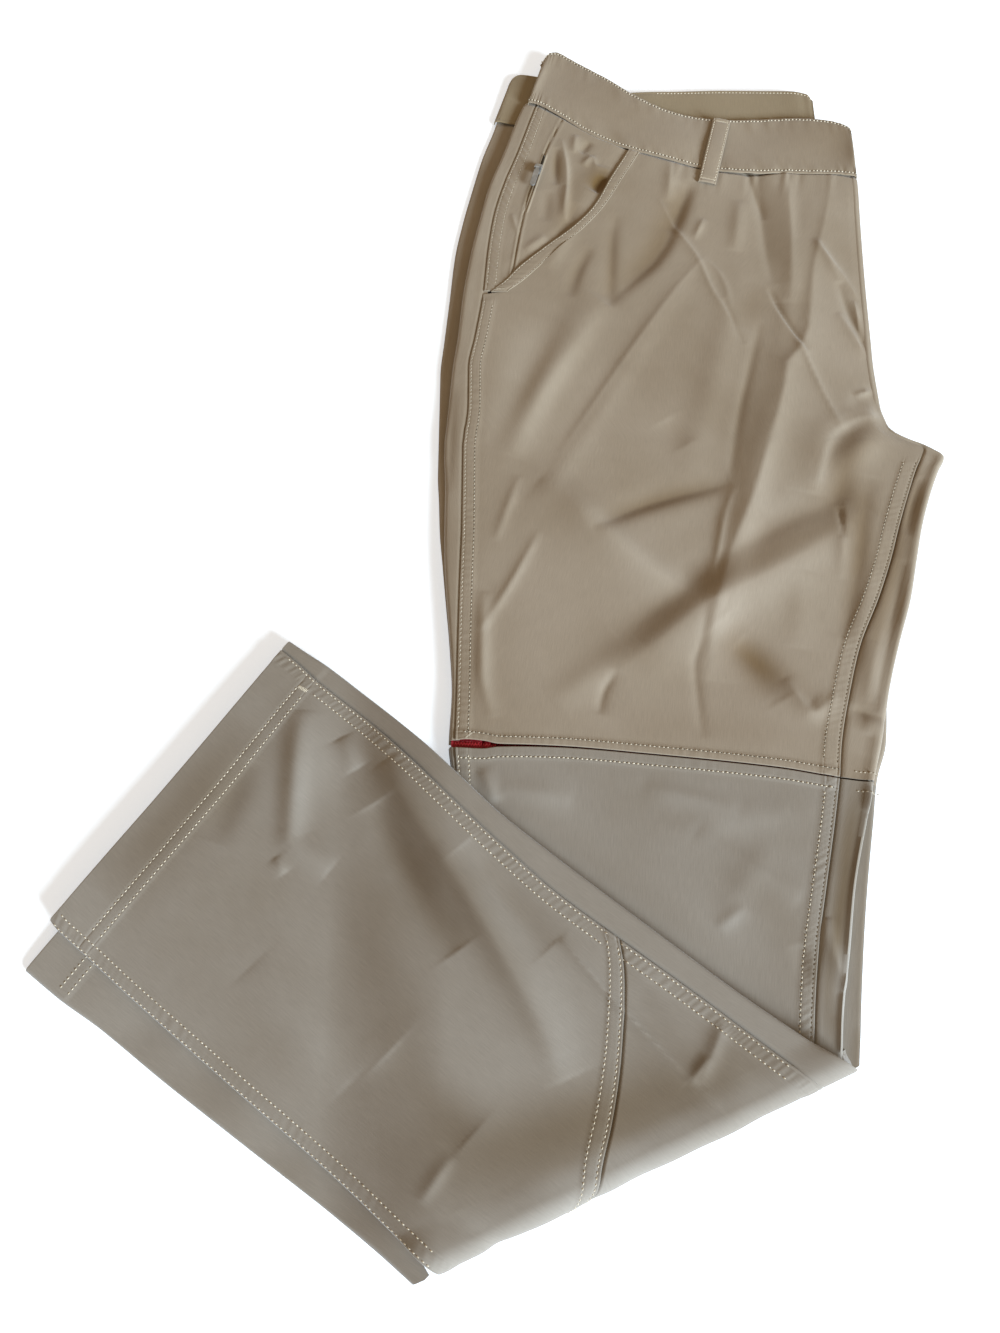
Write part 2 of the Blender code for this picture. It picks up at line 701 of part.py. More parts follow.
def strip_points(low, high, width, us, vs):
    """Plan of a straight strip between two points."""
    dx = high[0] - low[0]
    dy = high[1] - low[1]
    length = math.hypot(dx, dy)
    side = (us[None, :] - 0.5) * width
    x = low[0] + dx * vs[:, None] + side * dy / length
    y = low[1] + dy * vs[:, None] - side * dx / length
    return x, y


def make_belt_loop(finish):
    """Folded strip on the waistband, stitched down at both ends and arched between them."""
    us = np.array([0.0, 0.12, 0.5, 0.88, 1.0])
    vs = stations(10)
    x, y = strip_points(LOOP_LOW, LOOP_HIGH, LOOP_WIDTH, us, vs)
    arch = LOOP_ARCH * np.sin(np.pi * np.clip((vs - 0.1) / 0.8, 0.0, 1.0)) ** 2
    band_top = TOP_LEG["base"] + TOP_LEG["middle"] + BAND_EXTRA
    low = band_top + SEAM_GAP + arch[:, None] + np.zeros_like(x)
    top = low + LOOP_WALL - 0.5 * (np.abs(us - 0.5) > 0.4)
    wall("belt_loop_right", surface(x, y, top), surface(x, y, low), finish)


def beveled_box(name, size, at, turn, bevel, finish):
    """Box with rounded edges, its origin in the middle of its underside."""
    mesh = bpy.data.meshes.new(name)
    made = bpy.data.objects.new(name, mesh)
    bpy.context.scene.collection.objects.link(made)
    shape = bmesh.new()
    bmesh.ops.create_cube(shape, size=1.0)
    for vertex in shape.verts:
        vertex.co.x *= size[0] * MM
        vertex.co.y *= size[1] * MM
        vertex.co.z = (vertex.co.z + 0.5) * size[2] * MM
    bmesh.ops.bevel(
        shape, geom=shape.edges[:], offset=bevel * MM, segments=2, profile=0.5, affect="EDGES"
    )
    shape.to_mesh(mesh)
    shape.free()
    made.location = ((at[0] + CENTRE_SHIFT[0]) * MM, (at[1] + CENTRE_SHIFT[1]) * MM, at[2] * MM)
    made.rotation_euler = (0.0, 0.0, turn)
    mesh.materials.append(finish)
    return made


def make_coin_zip(tape_finish, metal_finish):
    """Zip of the small pocket: tape on the facing, slider, and a pull tab on the slider's bridge."""
    vs = stations(8)
    us = np.array([0.0, 0.5, 1.0])
    x, y = strip_points(COIN_ZIP_END, COIN_ZIP_TOP, COIN_ZIP_WIDTH, us, vs)
    low = top_surface(x, y) + SEAM_GAP
    wall("coin_zip_tape", surface(x, y, low + COIN_ZIP_WALL), surface(x, y, low), tape_finish)

    dx = COIN_ZIP_TOP[0] - COIN_ZIP_END[0]
    dy = COIN_ZIP_TOP[1] - COIN_ZIP_END[1]
    turn = math.atan2(dy, dx) - math.pi / 2
    sx, sy = COIN_ZIP_SLIDER
    base = float(top_surface(np.array([sx]), np.array([sy]))[0]) + 2 * SEAM_GAP + COIN_ZIP_WALL
    slider = beveled_box("coin_zip_slider", SLIDER_SIZE, (sx, sy, base + 0.1), turn, 0.5, metal_finish)
    ear_reach = 0.5 * BARREL_WIDTH + SEAM_GAP + 0.5 * EAR_SIZE[0]
    for side in (-1, 1):
        ear_x = sx + side * ear_reach * math.cos(turn)
        ear_y = sy + side * ear_reach * math.sin(turn)
        ear_z = base + SLIDER_SIZE[2] - 0.1
        ear = beveled_box("ear", EAR_SIZE, (ear_x, ear_y, ear_z), turn, 0.2, metal_finish)
        ear.hide_render = True
        ear.display_type = "WIRE"
        join = slider.modifiers.new("ear", "BOOLEAN")
        join.operation = "UNION"
        join.object = ear

    hinge_z = base + 0.1 + SLIDER_SIZE[2] + SEAM_GAP + HINGE_RADIUS
    make_pull("coin_zip_pull", (sx, sy, hinge_z), turn, metal_finish)


def make_pull(name, hinge, turn, finish):
    """Pull tab: a flat bar with a round end and a thicker barrel on the hinge line. Its origin is
    on the hinge line, and it lies down along the zip, away from the waist."""
    arc = [math.radians(a) for a in range(0, 181, 30)]
    half = 0.5 * PULL_WIDTH
    neck = 0.5 * BARREL_WIDTH - 0.1
    outline = [(neck, -HINGE_RADIUS * 0.6), (neck, -NECK_LENGTH), (half, -NECK_LENGTH - 0.6)]
    outline += [(half * math.cos(-a), -PULL_LENGTH + half + half * math.sin(-a)) for a in arc]
    outline += [(-half, -NECK_LENGTH - 0.6), (-neck, -NECK_LENGTH), (-neck, -HINGE_RADIUS * 0.6)]
    barrel = [math.radians(a) for a in range(-50, 231, 40)]
    profile = [(HINGE_RADIUS * math.cos(a), HINGE_RADIUS * math.sin(a)) for a in barrel]
    mesh = bpy.data.meshes.new(name)
    made = bpy.data.objects.new(name, mesh)
    bpy.context.scene.collection.objects.link(made)
    shape = bmesh.new()
    low = [shape.verts.new((px * MM, py * MM, -HINGE_RADIUS * MM)) for px, py in outline]
    face = shape.faces.new(low)
    raised = bmesh.ops.extrude_face_region(shape, geom=[face])
    for item in raised["geom"]:
        if isinstance(item, bmesh.types.BMVert):
            item.co.z += PULL_WALL * MM
    bmesh.ops.recalc_face_normals(shape, faces=shape.faces[:])
    shape.to_mesh(mesh)
    shape.free()

    roll = bpy.data.meshes.new(name + "_barrel")
    shape = bmesh.new()
    end_x = -0.5 * BARREL_WIDTH * MM
    ends = [shape.verts.new((end_x, py * MM, pz * MM)) for py, pz in profile]
    face = shape.faces.new(ends)
    raised = bmesh.ops.extrude_face_region(shape, geom=[face])
    for item in raised["geom"]:
        if isinstance(item, bmesh.types.BMVert):
            item.co.x += BARREL_WIDTH * MM
    bmesh.ops.recalc_face_normals(shape, faces=shape.faces[:])
    shape.to_mesh(roll)
    shape.free()
    cutter = bpy.data.objects.new(name + "_barrel", roll)
    cutter.hide_render = True
    cutter.display_type = "WIRE"
    bpy.context.scene.collection.objects.link(cutter)
    place = ((hinge[0] + CENTRE_SHIFT[0]) * MM, (hinge[1] + CENTRE_SHIFT[1]) * MM, hinge[2] * MM)
    for piece in (made, cutter):
        piece.location = place
        piece.rotation_euler = (0.0, 0.0, turn)
    join = made.modifiers.new("barrel", "BOOLEAN")
    join.operation = "UNION"
    join.object = cutter
    mesh.materials.append(finish)


def hem_line(t):
    """Left leg's hem, as s at each t: straight, and dropping a little towards the inseam."""
    return -HEM_DROP * np.clip((t - 70.0) / 120.0, 0.0, 1.0) ** 1.5


def over_depth(s, t, low, high):
    """Distance inside the nearer side edge of a folded leg."""
    return np.minimum(t - over(low, s), over(high, s) - t)


def slope_room(x):
    """Room left between layers on the slope, where the legs climb onto the others."""
    before = np.clip((x - CLIMB_FROM + 14.0) / 14.0, 0.0, 1.0)
    after = np.clip((CLIMB_TO + 14.0 - x) / 14.0, 0.0, 1.0)
    return SLOPE_ROOM * before * after


def fold_start(t):
    """Where the left folded leg starts to turn round the fold, as s at each t."""
    return FOLD_AT + FOLD_SLANT * t - FOLD_RADIUS / FOLD_COS


def rolled(s, t, height, inward):
    """Point of the folded left leg. Up to the fold it lies at its height above the floor. Past it
    the sheet goes round a half cylinder: what remains of s is split into a turn about the fold's
    line and a shift along it."""
    past = np.maximum(s - fold_start(t), 0.0)
    angle = np.minimum(past * FOLD_COS / FOLD_RADIUS, math.pi)
    shift = past * FOLD_SIN
    reach = (FOLD_RADIUS - inward) * np.sin(angle)
    flat_s = np.minimum(s, fold_start(t))
    x, y = to_plan(
        flat_s + reach * FOLD_COS + shift * FOLD_SIN, t - reach * FOLD_SIN + shift * FOLD_COS
    )
    turned = FOLD_RADIUS + (FOLD_RADIUS - inward) * np.cos(angle)
    z = np.where(past > 0.0, turned, height - inward)
    return surface(x, y, z)


def left_over_height(s, t):
    """Outer side of the left folded leg, its folds left out, up to the fold."""
    x, _ = to_plan(s, t)
    rounded = crown(over_depth(s, t, "low", "high"), OVER_LEFT)
    near_fold = np.clip(1.0 - (fold_start(t) - s) / 16.0, 0.0, 1.0)
    full = 2.0 * FOLD_RADIUS
    height = climb(x) + OVER_LEFT["base"] + rounded
    return height + (full - height) * near_fold**2 * (3.0 - 2.0 * near_fold)


def make_right_over(finish):
    """Right lower leg folded over: it shows along the edge under the left one."""
    us = np.array([0.0, 0.008, 0.03] + [i / 14 for i in range(1, 14)] + [0.99, 1.0])
    low = lambda s: over("under_low", s)
    high = lambda s: over("under_high", s)
    start = lambda t: np.full_like(t, UNDER_HEM_AT)

    def end(t):
        out = np.clip((-5.6 - t) / 3.4, 0.0, 1.0)
        return FOLD_AT + FOLD_SLANT * t - 14.0 + 13.0 * out

    s, t = over_grid(low, high, start, end, us, stations(24))
    x, y = to_plan(s, t)
    base = climb(x)
    rounded = crown(over_depth(s, t, "under_low", "under_high"), OVER_RIGHT)
    z = base + np.maximum(rounded - slope_room(x), RIM)
    wall("calf_right_over", surface(x, y, z), surface(x, y, base), finish)


def make_left_over_back(finish):
    """Left lower leg folded over: back panel with the hidden layers, which fill the fold."""
    step = CLOTH + SEAM_GAP
    low = lambda s: over("low", s) + 2.4
    seam = lambda s: over("inseam", s)
    high = lambda s: over("high", s)
    across = (0.0, 0.02, 0.06, 0.12, 0.2, 0.3, 0.4, 0.5, 0.6, 0.7, 0.8, 0.9, 1.0)
    lines = strip_columns(low, lambda s: seam(s) - 0.15, across)
    clear = lambda s: seam(s) + 0.15 + 0.8 * np.clip((s - 330.0) / 20.0, 0.0, 1.0)
    lines += strip_columns(clear, high, (0.0, 0.6, 0.88, 1.0))
    drop = np.array([step] * len(across) + [0.0] * 4)
    end = lambda t: fold_start(t) - 0.2
    around = lambda t: fold_start(t) + math.pi * FOLD_RADIUS / FOLD_COS
    s_columns = []
    t_columns = []
    for line in lines:
        s, t = over_grid(line, line, hem_line, end, np.zeros(1), stations(24))
        s_turn, t_turn = over_grid(line, line, end, around, np.zeros(1), stations(12))
        s_columns.append(np.concatenate([s[:, 0], s_turn[1:, 0]]))
        t_columns.append(np.concatenate([t[:, 0], t_turn[1:, 0]]))
    s = np.stack(s_columns, axis=1)
    t = np.stack(t_columns, axis=1)
    x, _ = to_plan(s, t)
    past = np.maximum(s - fold_start(t), 0.0)
    turned = past > 0.0
    base = np.where(turned, CLIMB, climb(x)) + OVER_LEFT["base"]
    near_fold = np.clip(1.0 - (fold_start(t) - s) / 14.0, 0.0, 1.0)
    room = np.where(turned, 0.0, slope_room(x))
    lowered = np.where(drop > 0, step + room + FOLD_ROOM * near_fold, 0.0)
    height = np.where(turned, 2.0 * FOLD_RADIUS, left_over_height(s, t))
    height = np.maximum(height, base + RIM + lowered)
    outer = rolled(s, t, height, lowered)
    share = past * FOLD_COS / FOLD_RADIUS / math.pi
    shift = past * FOLD_SIN
    flat_s = np.minimum(s, fold_start(t))
    px, py = to_plan(flat_s + shift * FOLD_SIN, t + shift * FOLD_COS)
    inner = surface(px, py, base + (lowered + RIM - base) * share)
    wall("calf_back_left_over", outer, inner, finish)


def front_left_wall(name, low, high, start, end, us, vs, hem_extra, finish):
    """One front panel of the left folded leg, with its folds, round the fold where it gets there."""
    s, t = over_grid(low, high, start, end, us, vs)
    x, y = to_plan(s, t)
    flat = np.clip((fold_start(t) - s) / 12.0, 0.0, 1.0)
    height = left_over_height(s, t) + folds(x, y, OVER_FOLDS) * flat
    height = height + hem_extra * (s < HEM_DEPTH + 0.3)
    base = climb(x) + OVER_LEFT["base"] + 0.05
    outer = rolled(s, t, height, 0.0)
    inner = rolled(s, t, height, CLOTH)
    inner[..., 2] = np.where(s < fold_start(t), np.maximum(inner[..., 2], base), inner[..., 2])
    wall(name, outer, inner, finish)


def make_left_over_front(finish):
    """Left lower leg folded over: the two front panels, parted by the shaped cross seam. Both go
    round the fold to the floor."""
    low = lambda s: over("low", s)
    inside = lambda s: over("inseam", s) - 0.45
    around = lambda t: fold_start(t) + math.pi * FOLD_RADIUS / FOLD_COS
    limit = lambda t: np.minimum(cross_seam("s", t) - 0.3, around(t))
    columns = list(range(1, 16)) + [15.6, 16.0]
    us = np.array([0.0, 0.003, 0.007, 0.014, 0.03] + [c / 16.0 for c in columns])
    hem_rows = (HEM_DEPTH / 300.0, (HEM_DEPTH + 1.2) / 300.0)
    vs = np.concatenate([stations(20, hem_rows) * 0.86, 0.86 + 0.14 * np.linspace(0.1, 1.0, 10)])
    front_left_wall("calf_front_left_hem", low, inside, hem_line, limit, us, vs, HEM_EXTRA, finish)

    lowest = lambda s: low(s) + 5.0 / 16.0 * (inside(s) - low(s))
    beyond = lambda t: cross_seam("s", t) + 0.3
    us = (np.array(columns[4:]) - 5.0) / 11.0
    front_left_wall(
        "calf_front_left_knee", lowest, inside, beyond, around, us, stations(22), 0.0, finish
    )


def main():
    for item in list(bpy.data.objects):
        bpy.data.objects.remove(item)
    front = material("khaki_cloth", KHAKI, 0.72)
    shade = material("khaki_cloth_inside", KHAKI_SHADE, 0.8)
    red = material("zip_red", ZIP_RED, 0.5)
    metal = material("zip_metal", METAL, 0.32, 1.0)
    make_left_leg(shade)
    make_right_leg_cores(front)
    make_thigh_front(front)
    make_calf_front(front)
    make_knee_zip(red)
    make_pocket(front)
    make_waistband(front, shade)
    make_belt_loop(front)
    make_coin_zip(shade, metal)
    make_right_over(front)
    make_left_over_back(front)
    make_left_over_front(front)


main()
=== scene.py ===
# %% [markdown]
# Convertible trousers with zip-off lower legs, folded lengthwise so that the right leg lies on the
# left one, and then folded across below the knees. Their cloth is a thin woven synthetic. Every
# panel is a surface worked out from a few sections, given a thin wall and dressed with its own
# creases, stitches and weave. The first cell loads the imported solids, which stay the frame that
# everything else is set against.

# %% Load the frame
import math

import bpy
import numpy as np
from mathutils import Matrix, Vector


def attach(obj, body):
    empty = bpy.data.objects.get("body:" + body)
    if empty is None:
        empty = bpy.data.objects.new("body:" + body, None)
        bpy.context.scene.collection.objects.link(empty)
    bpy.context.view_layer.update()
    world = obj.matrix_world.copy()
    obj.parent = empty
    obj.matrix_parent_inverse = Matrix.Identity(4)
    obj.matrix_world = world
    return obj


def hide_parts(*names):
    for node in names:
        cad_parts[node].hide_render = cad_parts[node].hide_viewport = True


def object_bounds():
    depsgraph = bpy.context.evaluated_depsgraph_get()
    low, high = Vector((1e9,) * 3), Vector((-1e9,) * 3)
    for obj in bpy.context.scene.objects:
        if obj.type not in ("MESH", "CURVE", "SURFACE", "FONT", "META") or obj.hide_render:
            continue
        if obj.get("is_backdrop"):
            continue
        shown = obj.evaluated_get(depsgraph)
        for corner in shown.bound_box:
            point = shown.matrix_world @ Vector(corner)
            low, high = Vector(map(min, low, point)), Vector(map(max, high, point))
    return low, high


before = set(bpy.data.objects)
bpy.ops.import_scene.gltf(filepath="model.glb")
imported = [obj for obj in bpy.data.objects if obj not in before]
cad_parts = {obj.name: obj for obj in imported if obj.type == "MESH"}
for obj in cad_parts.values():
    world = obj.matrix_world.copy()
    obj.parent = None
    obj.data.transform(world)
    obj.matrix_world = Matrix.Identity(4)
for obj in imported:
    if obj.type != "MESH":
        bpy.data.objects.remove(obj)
cad_low, cad_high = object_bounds()

# %% [markdown]
# The photograph was taken from above, leaning a little towards the waist. A camera is placed by
# where it stands over the floor and by how far it leans; the lens sets how strongly the far legs
# shrink. A wide lens held close gives the photograph's framing.

# %% Camera
CAMERA_PLACE = (-0.01214, -0.28469, 0.55)
CAMERA_LEAN = 20.0  # degrees from straight down, towards the waist
LENS = 27.0  # millimetres on a 36 mm film

camera_data = bpy.data.cameras.new("camera")
camera_data.lens = LENS
camera_data.sensor_width = 36.0
camera_data.clip_start = 0.01
camera = bpy.data.objects.new("camera", camera_data)
camera.location = CAMERA_PLACE
camera.rotation_euler = (math.radians(CAMERA_LEAN), 0.0, 0.0)
bpy.context.scene.collection.objects.link(camera)
bpy.context.scene.camera = camera
bpy.context.scene.view_settings.view_transform = "Standard"
print("camera", CAMERA_PLACE, "lens", LENS)

# %% [markdown]
# The drawing of the trousers is a set of short tables in millimetres, the same as those behind
# the solids. Level sections give the upper legs. The folded lower legs have their own directions:
# s runs from the hem, t across the leg. A smooth curve runs through each column, and it never
# swings past its rows, so a given table stays true to its numbers.

# %% Curves through tables
MM = 0.001
CENTRE_SHIFT = (7.86, 7.31)  # from the drawing's origin to the middle of the plan


def stack(*parts):
    """Arrays of the same shape side by side along a new last axis, such as x, y and z."""
    return np.stack(parts, axis=-1)


def bell(distance, width):
    """Exponential of minus the square of a distance over a width: 1 in the middle, soft sides."""
    return np.exp(-((distance / width) ** 2))


def pchip(x, xs, ys):
    """Cubic in each span. Its slope at a row is the harmonic mean of the slopes on both sides, or
    nought at a turn, so it keeps to the rows."""
    order = np.argsort(xs)
    xs = np.asarray(xs, float)[order]
    ys = np.asarray(ys, float)[order]
    span = np.diff(xs)
    slope = np.diff(ys) / span
    product = slope[:-1] * slope[1:]
    safe = np.where(product > 0, slope[:-1] + slope[1:], 1.0)
    inner = np.where(product > 0, 2.0 * product / safe, 0.0)
    tangent = np.concatenate([slope[:1], inner, slope[-1:]])
    x = np.asarray(x, float)
    k = np.clip(np.searchsorted(xs, x) - 1, 0, len(span) - 1)
    f = np.clip((x - xs[k]) / span[k], 0.0, 1.0)
    h = span[k]
    return (
        ys[k] * (2 * f**3 - 3 * f**2 + 1)
        + h * tangent[k] * (f**3 - 2 * f**2 + f)
        + ys[k + 1] * (3 * f**2 - 2 * f**3)
        + h * tangent[k + 1] * (f**3 - f**2)
    )


def reader(columns, rows, key):
    """Function (name, at) that reads one column of a table smoothly along the key column."""
    table = np.array(rows, float)
    keys = table[:, columns.index(key)]
    return lambda name, at: pchip(at, keys, table[:, columns.index(name)])


# %% Tables of the upper legs
UPPER_COLUMNS = ("y", "under_left", "top_left", "outseam", "front_right", "top_right", "under_right")
UPPER_SECTIONS = [
    (345, -19, -1, 9, 231, 233, 231),
    (326, -23, -8, 3, 231, 233, 231),
    (293, -33, -18, -7, 230, 232, 230),
    (263, -40, -28, -17, 230, 231, 229),
    (235, -46, -34, -24, 228, 229, 227),
    (205, -51, -40, -28, 226, 227, 225),
    (169, -54, -45, -31, 224, 225, 223),
    (135, -57, -48, -36, 222.5, 223.5, 221),
    (110, -59, -51, -40, 221.5, 222.5, 220),
    (82, -59, -53, -40, 222, 223, 221),
    (69, -59, -54, -41, 224, 225.5, 222),
    (63, -59, -54.5, -42, 227, 229, 224),
    (57, -59, -55, -42.5, 235, 238, 228),
    (53, -59, -55, -43, 243, 247, 234),
    (50, -59, -55, -43, 245, 252, 240),
    (45, -59, -55, -43, 243, 258, 252),
    (35, -59, -54.5, -43, 238, 253, 250),
    (17, -58, -54, -43, 230.5, 245, 243),
    (-5, -57, -54, -43, 222, 237, 236),
    (-26, -55, -53.5, -43.5, 214.5, 231, 230),
    (-51, -52.6, -51.8, -44, 204, 224, 223),
    (-82, -49.6, -49.2, -44.4, 189, 212.5, 211.5),
    (-109, -48, -47.6, -44.6, 180, 203.5, 204),
    (-140, -49.2, -48.7, -45.2, 171.5, 195, 199),
    (-160, -47, -46.5, -44, 168, 188.5, 191.5),
    (-183, -46.5, -46, -43, 163, 181.5, 186.5),
    (-220, -46, -45.8, -42, 154, 170.5, 178.5),
    (-249, -46, -45.8, -42, 147, 164.5, 173),
    (-291, -46, -46, -42, 140, 155.5, 166.2),
    (-320, -46, -46, -42, 137, 152.5, 162.5),
    (-400, -44, -46, -42, 137, 152.5, 162.5),
]
upper = reader(UPPER_COLUMNS, UPPER_SECTIONS, "y")

KNEE_COLUMNS = ("x", "y", "opening")
KNEE_LINE = [
    (-52, -140.5, 2.8),
    (-46, -140.8, 3.8),
    (-37, -141, 5.0),
    (-29, -141.6, 4.4),
    (-21, -142, 1.7),
    (-8, -142.2, 1.2),
    (14, -143, 0.9),
    (60, -147, 0.7),
    (135, -155, 0.7),
    (171, -161, 0.7),
    (200, -164, 0.7),
]
knee = reader(KNEE_COLUMNS, KNEE_LINE, "x")

POCKET_COLUMNS = ("y", "edge_x", "stitch_x")
POCKET_LINES = [
    (171, -26, -15),
    (179, -17, -5.5),
    (190, -8, 5),
    (208, 11, 21.5),
    (224, 29, 37),
    (242, 44, 51),
    (270, 58, 66.5),
    (292, 70, 78.5),
    (330, 90, 99),
]
POCKET_END = 170.6
pocket = reader(POCKET_COLUMNS, POCKET_LINES, "y")
print(len(UPPER_SECTIONS), "sections of the upper legs,", len(POCKET_LINES), "rows of the pocket")

# %% Tables of the waistbands
WAISTBAND_COLUMNS = ("seam_x", "seam_y", "top_x", "top_y")
WAISTBAND_SECTIONS = [
    (0, 339.5, 11, 378),
    (1.5, 339, 13.5, 384.5),
    (4.5, 338, 17, 389),
    (9, 335.5, 22, 389.5),
    (25, 324, 38, 378),
    (46, 308, 57, 363),
    (71, 295, 81, 343),
    (95, 286, 103, 331),
    (119, 277.5, 125, 325),
    (134, 274, 140, 322.5),
    (159, 271.5, 163, 323.5),
    (186, 272.5, 187, 324.5),
    (212, 272.5, 211, 322),
    (225, 271, 225, 318.5),
    (229, 270.5, 230, 316),
    (230.5, 270, 231.5, 311),
]
BACK_BAND_SECTIONS = [
    (20, 330, 30, 352),
    (60, 302, 66, 353),
    (100, 290, 102, 355),
    (150, 282, 150, 355.5),
    (195, 280, 195, 354.5),
    (203, 280, 204, 352.5),
    (207, 280, 208, 346),
]
LEFT_BAND_SECTIONS = [
    (-24.5, 328, -15, 360),
    (-21, 327.5, -10, 371),
    (-16, 326, -4, 374),
    (2, 322, 12, 371),
    (60, 296, 66, 342),
    (130, 276, 135, 321),
    (228, 272, 229, 316),
]
waist = reader(WAISTBAND_COLUMNS, WAISTBAND_SECTIONS, "seam_x")
left_waist = reader(WAISTBAND_COLUMNS, LEFT_BAND_SECTIONS, "seam_x")

# %% Tables of the folded lower legs
OVER_ORIGIN = (-257.0, -236.0)
OVER_AXIS = (0.8, -0.6)
OVER_ACROSS = (0.6, 0.8)
OVER_COLUMNS = ("s", "under_low", "under_high", "low", "inseam", "high")
OVER_SECTIONS = [
    (-4, -29, 166, -1.0, 187, 194.5),
    (8, -28.8, 166, -3.2, 186.6, 195),
    (28, -28.4, 166, -3.6, 184.8, 196),
    (60, -25.8, 165, -4.6, 184, 195),
    (98, -24.8, 164, -4.9, 180.4, 192.5),
    (124, -23.6, 162, -5.0, 177, 189.6),
    (164, -21.5, 160, -5.0, 172.5, 185.4),
    (212, -18.8, 158, -5.2, 169, 184.5),
    (245, -17, 158, -5.8, 169.4, 184.4),
    (295, -16.4, 158, -6, 170.6, 184.4),
    (342, -16, 158, -6, 170.8, 186),
    (380, -16, 158, -6, 171.8, 189.5),
]
over = reader(OVER_COLUMNS, OVER_SECTIONS, "s")

CROSS_SEAM_COLUMNS = ("t", "s")
CROSS_SEAM = [
    (-8, 348),
    (45, 317),
    (59, 309.3),
    (75, 300.2),
    (97, 291.5),
    (118, 281.5),
    (141, 268),
    (158, 256.5),
    (172, 243),
    (190, 226),
]
cross_seam = reader(CROSS_SEAM_COLUMNS, CROSS_SEAM, "t")

# %% [markdown]
# A folded leg is a flat tube with round edges. Its thickness rises fast over the first two
# millimetres and slowly after that, which gives the soft edge of lying cloth. The folded lower
# legs climb from the floor onto the upper ones, and turn round a half cylinder at the fold.

# %% Thickness, slope and fold
RIM = 0.7
CROWN_REACH = 18.0
EDGE_ROUND = 2.0
UNDER_LEG = {"base": 0.0, "edge": 2.0, "middle": 4.0}
TOP_LEG = {"base": 4.4, "edge": 3.6, "middle": 5.6}
OVER_RIGHT = {"base": 0.0, "edge": 2.4, "middle": 4.0}
OVER_LEFT = {"base": 4.4, "edge": 3.6, "middle": 5.6}
CLIMB_FROM = -110.0
CLIMB_TO = -47.0
CLIMB = 10.4
FOLD_AT = 268.5
FOLD_ANGLE = math.radians(30.0)
FOLD_SLANT = math.tan(FOLD_ANGLE)
FOLD_COS = math.cos(FOLD_ANGLE)
FOLD_SIN = math.sin(FOLD_ANGLE)
FOLD_RADIUS = 0.5 * (CLIMB + OVER_LEFT["base"] + OVER_LEFT["middle"])
FOLD_BACK_SLANT = 0.427  # shift along the fold under it, for each millimetre back from its edge
UNDER_HEM_AT = 6.0


def crown(depth, leg):
    """Thickness at a distance inside the edge: the rim, plus a quarter circle over the first
    millimetres, plus a rise that dies out as one minus an exponential."""
    depth = np.maximum(depth, 0.0)
    round_part = np.sqrt(1.0 - np.clip(1.0 - depth / EDGE_ROUND, 0.0, 1.0) ** 2)
    rise = (leg["middle"] - leg["edge"]) * (1.0 - np.exp(-depth / CROWN_REACH))
    return RIM + (leg["edge"] - RIM) * round_part + rise


def smooth(f):
    """Soft step from 0 to 1: three times the square less twice the cube of the clipped share."""
    f = np.clip(f, 0.0, 1.0)
    return f * f * (3.0 - 2.0 * f)


def climb(x):
    """Height of what the folded legs lie on: a soft step up to the top of the upper legs."""
    return CLIMB * smooth((x - CLIMB_FROM) / (CLIMB_TO - CLIMB_FROM))


def to_plan(s, t):
    """Plan of a point of the folded legs: the origin, plus s along them and t across."""
    x = OVER_ORIGIN[0] + s * OVER_AXIS[0] + t * OVER_ACROSS[0]
    y = OVER_ORIGIN[1] + s * OVER_AXIS[1] + t * OVER_ACROSS[1]
    return x, y


def fold_start(t):
    """Where the left folded leg starts to turn, as s at each t: a slanting line."""
    return FOLD_AT + FOLD_SLANT * t - FOLD_RADIUS / FOLD_COS


def rolled(s, t, height, inward=0.0):
    """Point of the folded left leg. Past the start of the fold, the rest of s becomes a turn about
    the fold's line. A shift along that line keeps the leg's edges straight in plan: along the
    folded leg on top, and along the upper legs underneath, so the fold ends in a sharp corner."""
    past = np.maximum(s - fold_start(t), 0.0)
    angle = np.minimum(past * FOLD_COS / FOLD_RADIUS, math.pi)
    over_top = np.where(past > 0.0, height - 2.0 * FOLD_RADIUS, 0.0)
    fade = 1.0 - smooth((angle - 0.5 * math.pi) / (0.4 * math.pi))
    over_top = np.where(over_top > 0.0, over_top * fade, over_top)
    radius = FOLD_RADIUS - inward + over_top
    reach = radius * np.sin(angle)
    turned = angle > 0.5 * math.pi
    behind = radius * FOLD_SLANT + (radius - reach) * FOLD_BACK_SLANT
    shift = np.where(turned, behind, reach * FOLD_SLANT)
    flat_s = np.minimum(s, fold_start(t))
    turned_s = flat_s + reach * FOLD_COS + shift * FOLD_SIN
    x, y = to_plan(turned_s, t - reach * FOLD_SIN + shift * FOLD_COS)
    z = np.where(past > 0.0, FOLD_RADIUS + radius * np.cos(angle), height - inward)
    return stack(x, y, z)


print("the fold is", round(2 * FOLD_RADIUS, 1), "mm high")

# %% [markdown]
# Cloth lies in ridges and troughs. The largest are in the solids too, as straight soft ridges.
# The finer creases here follow a few points each, and are steeper on one side than on the other,
# as a crease is that was pressed into the cloth in a drawer.

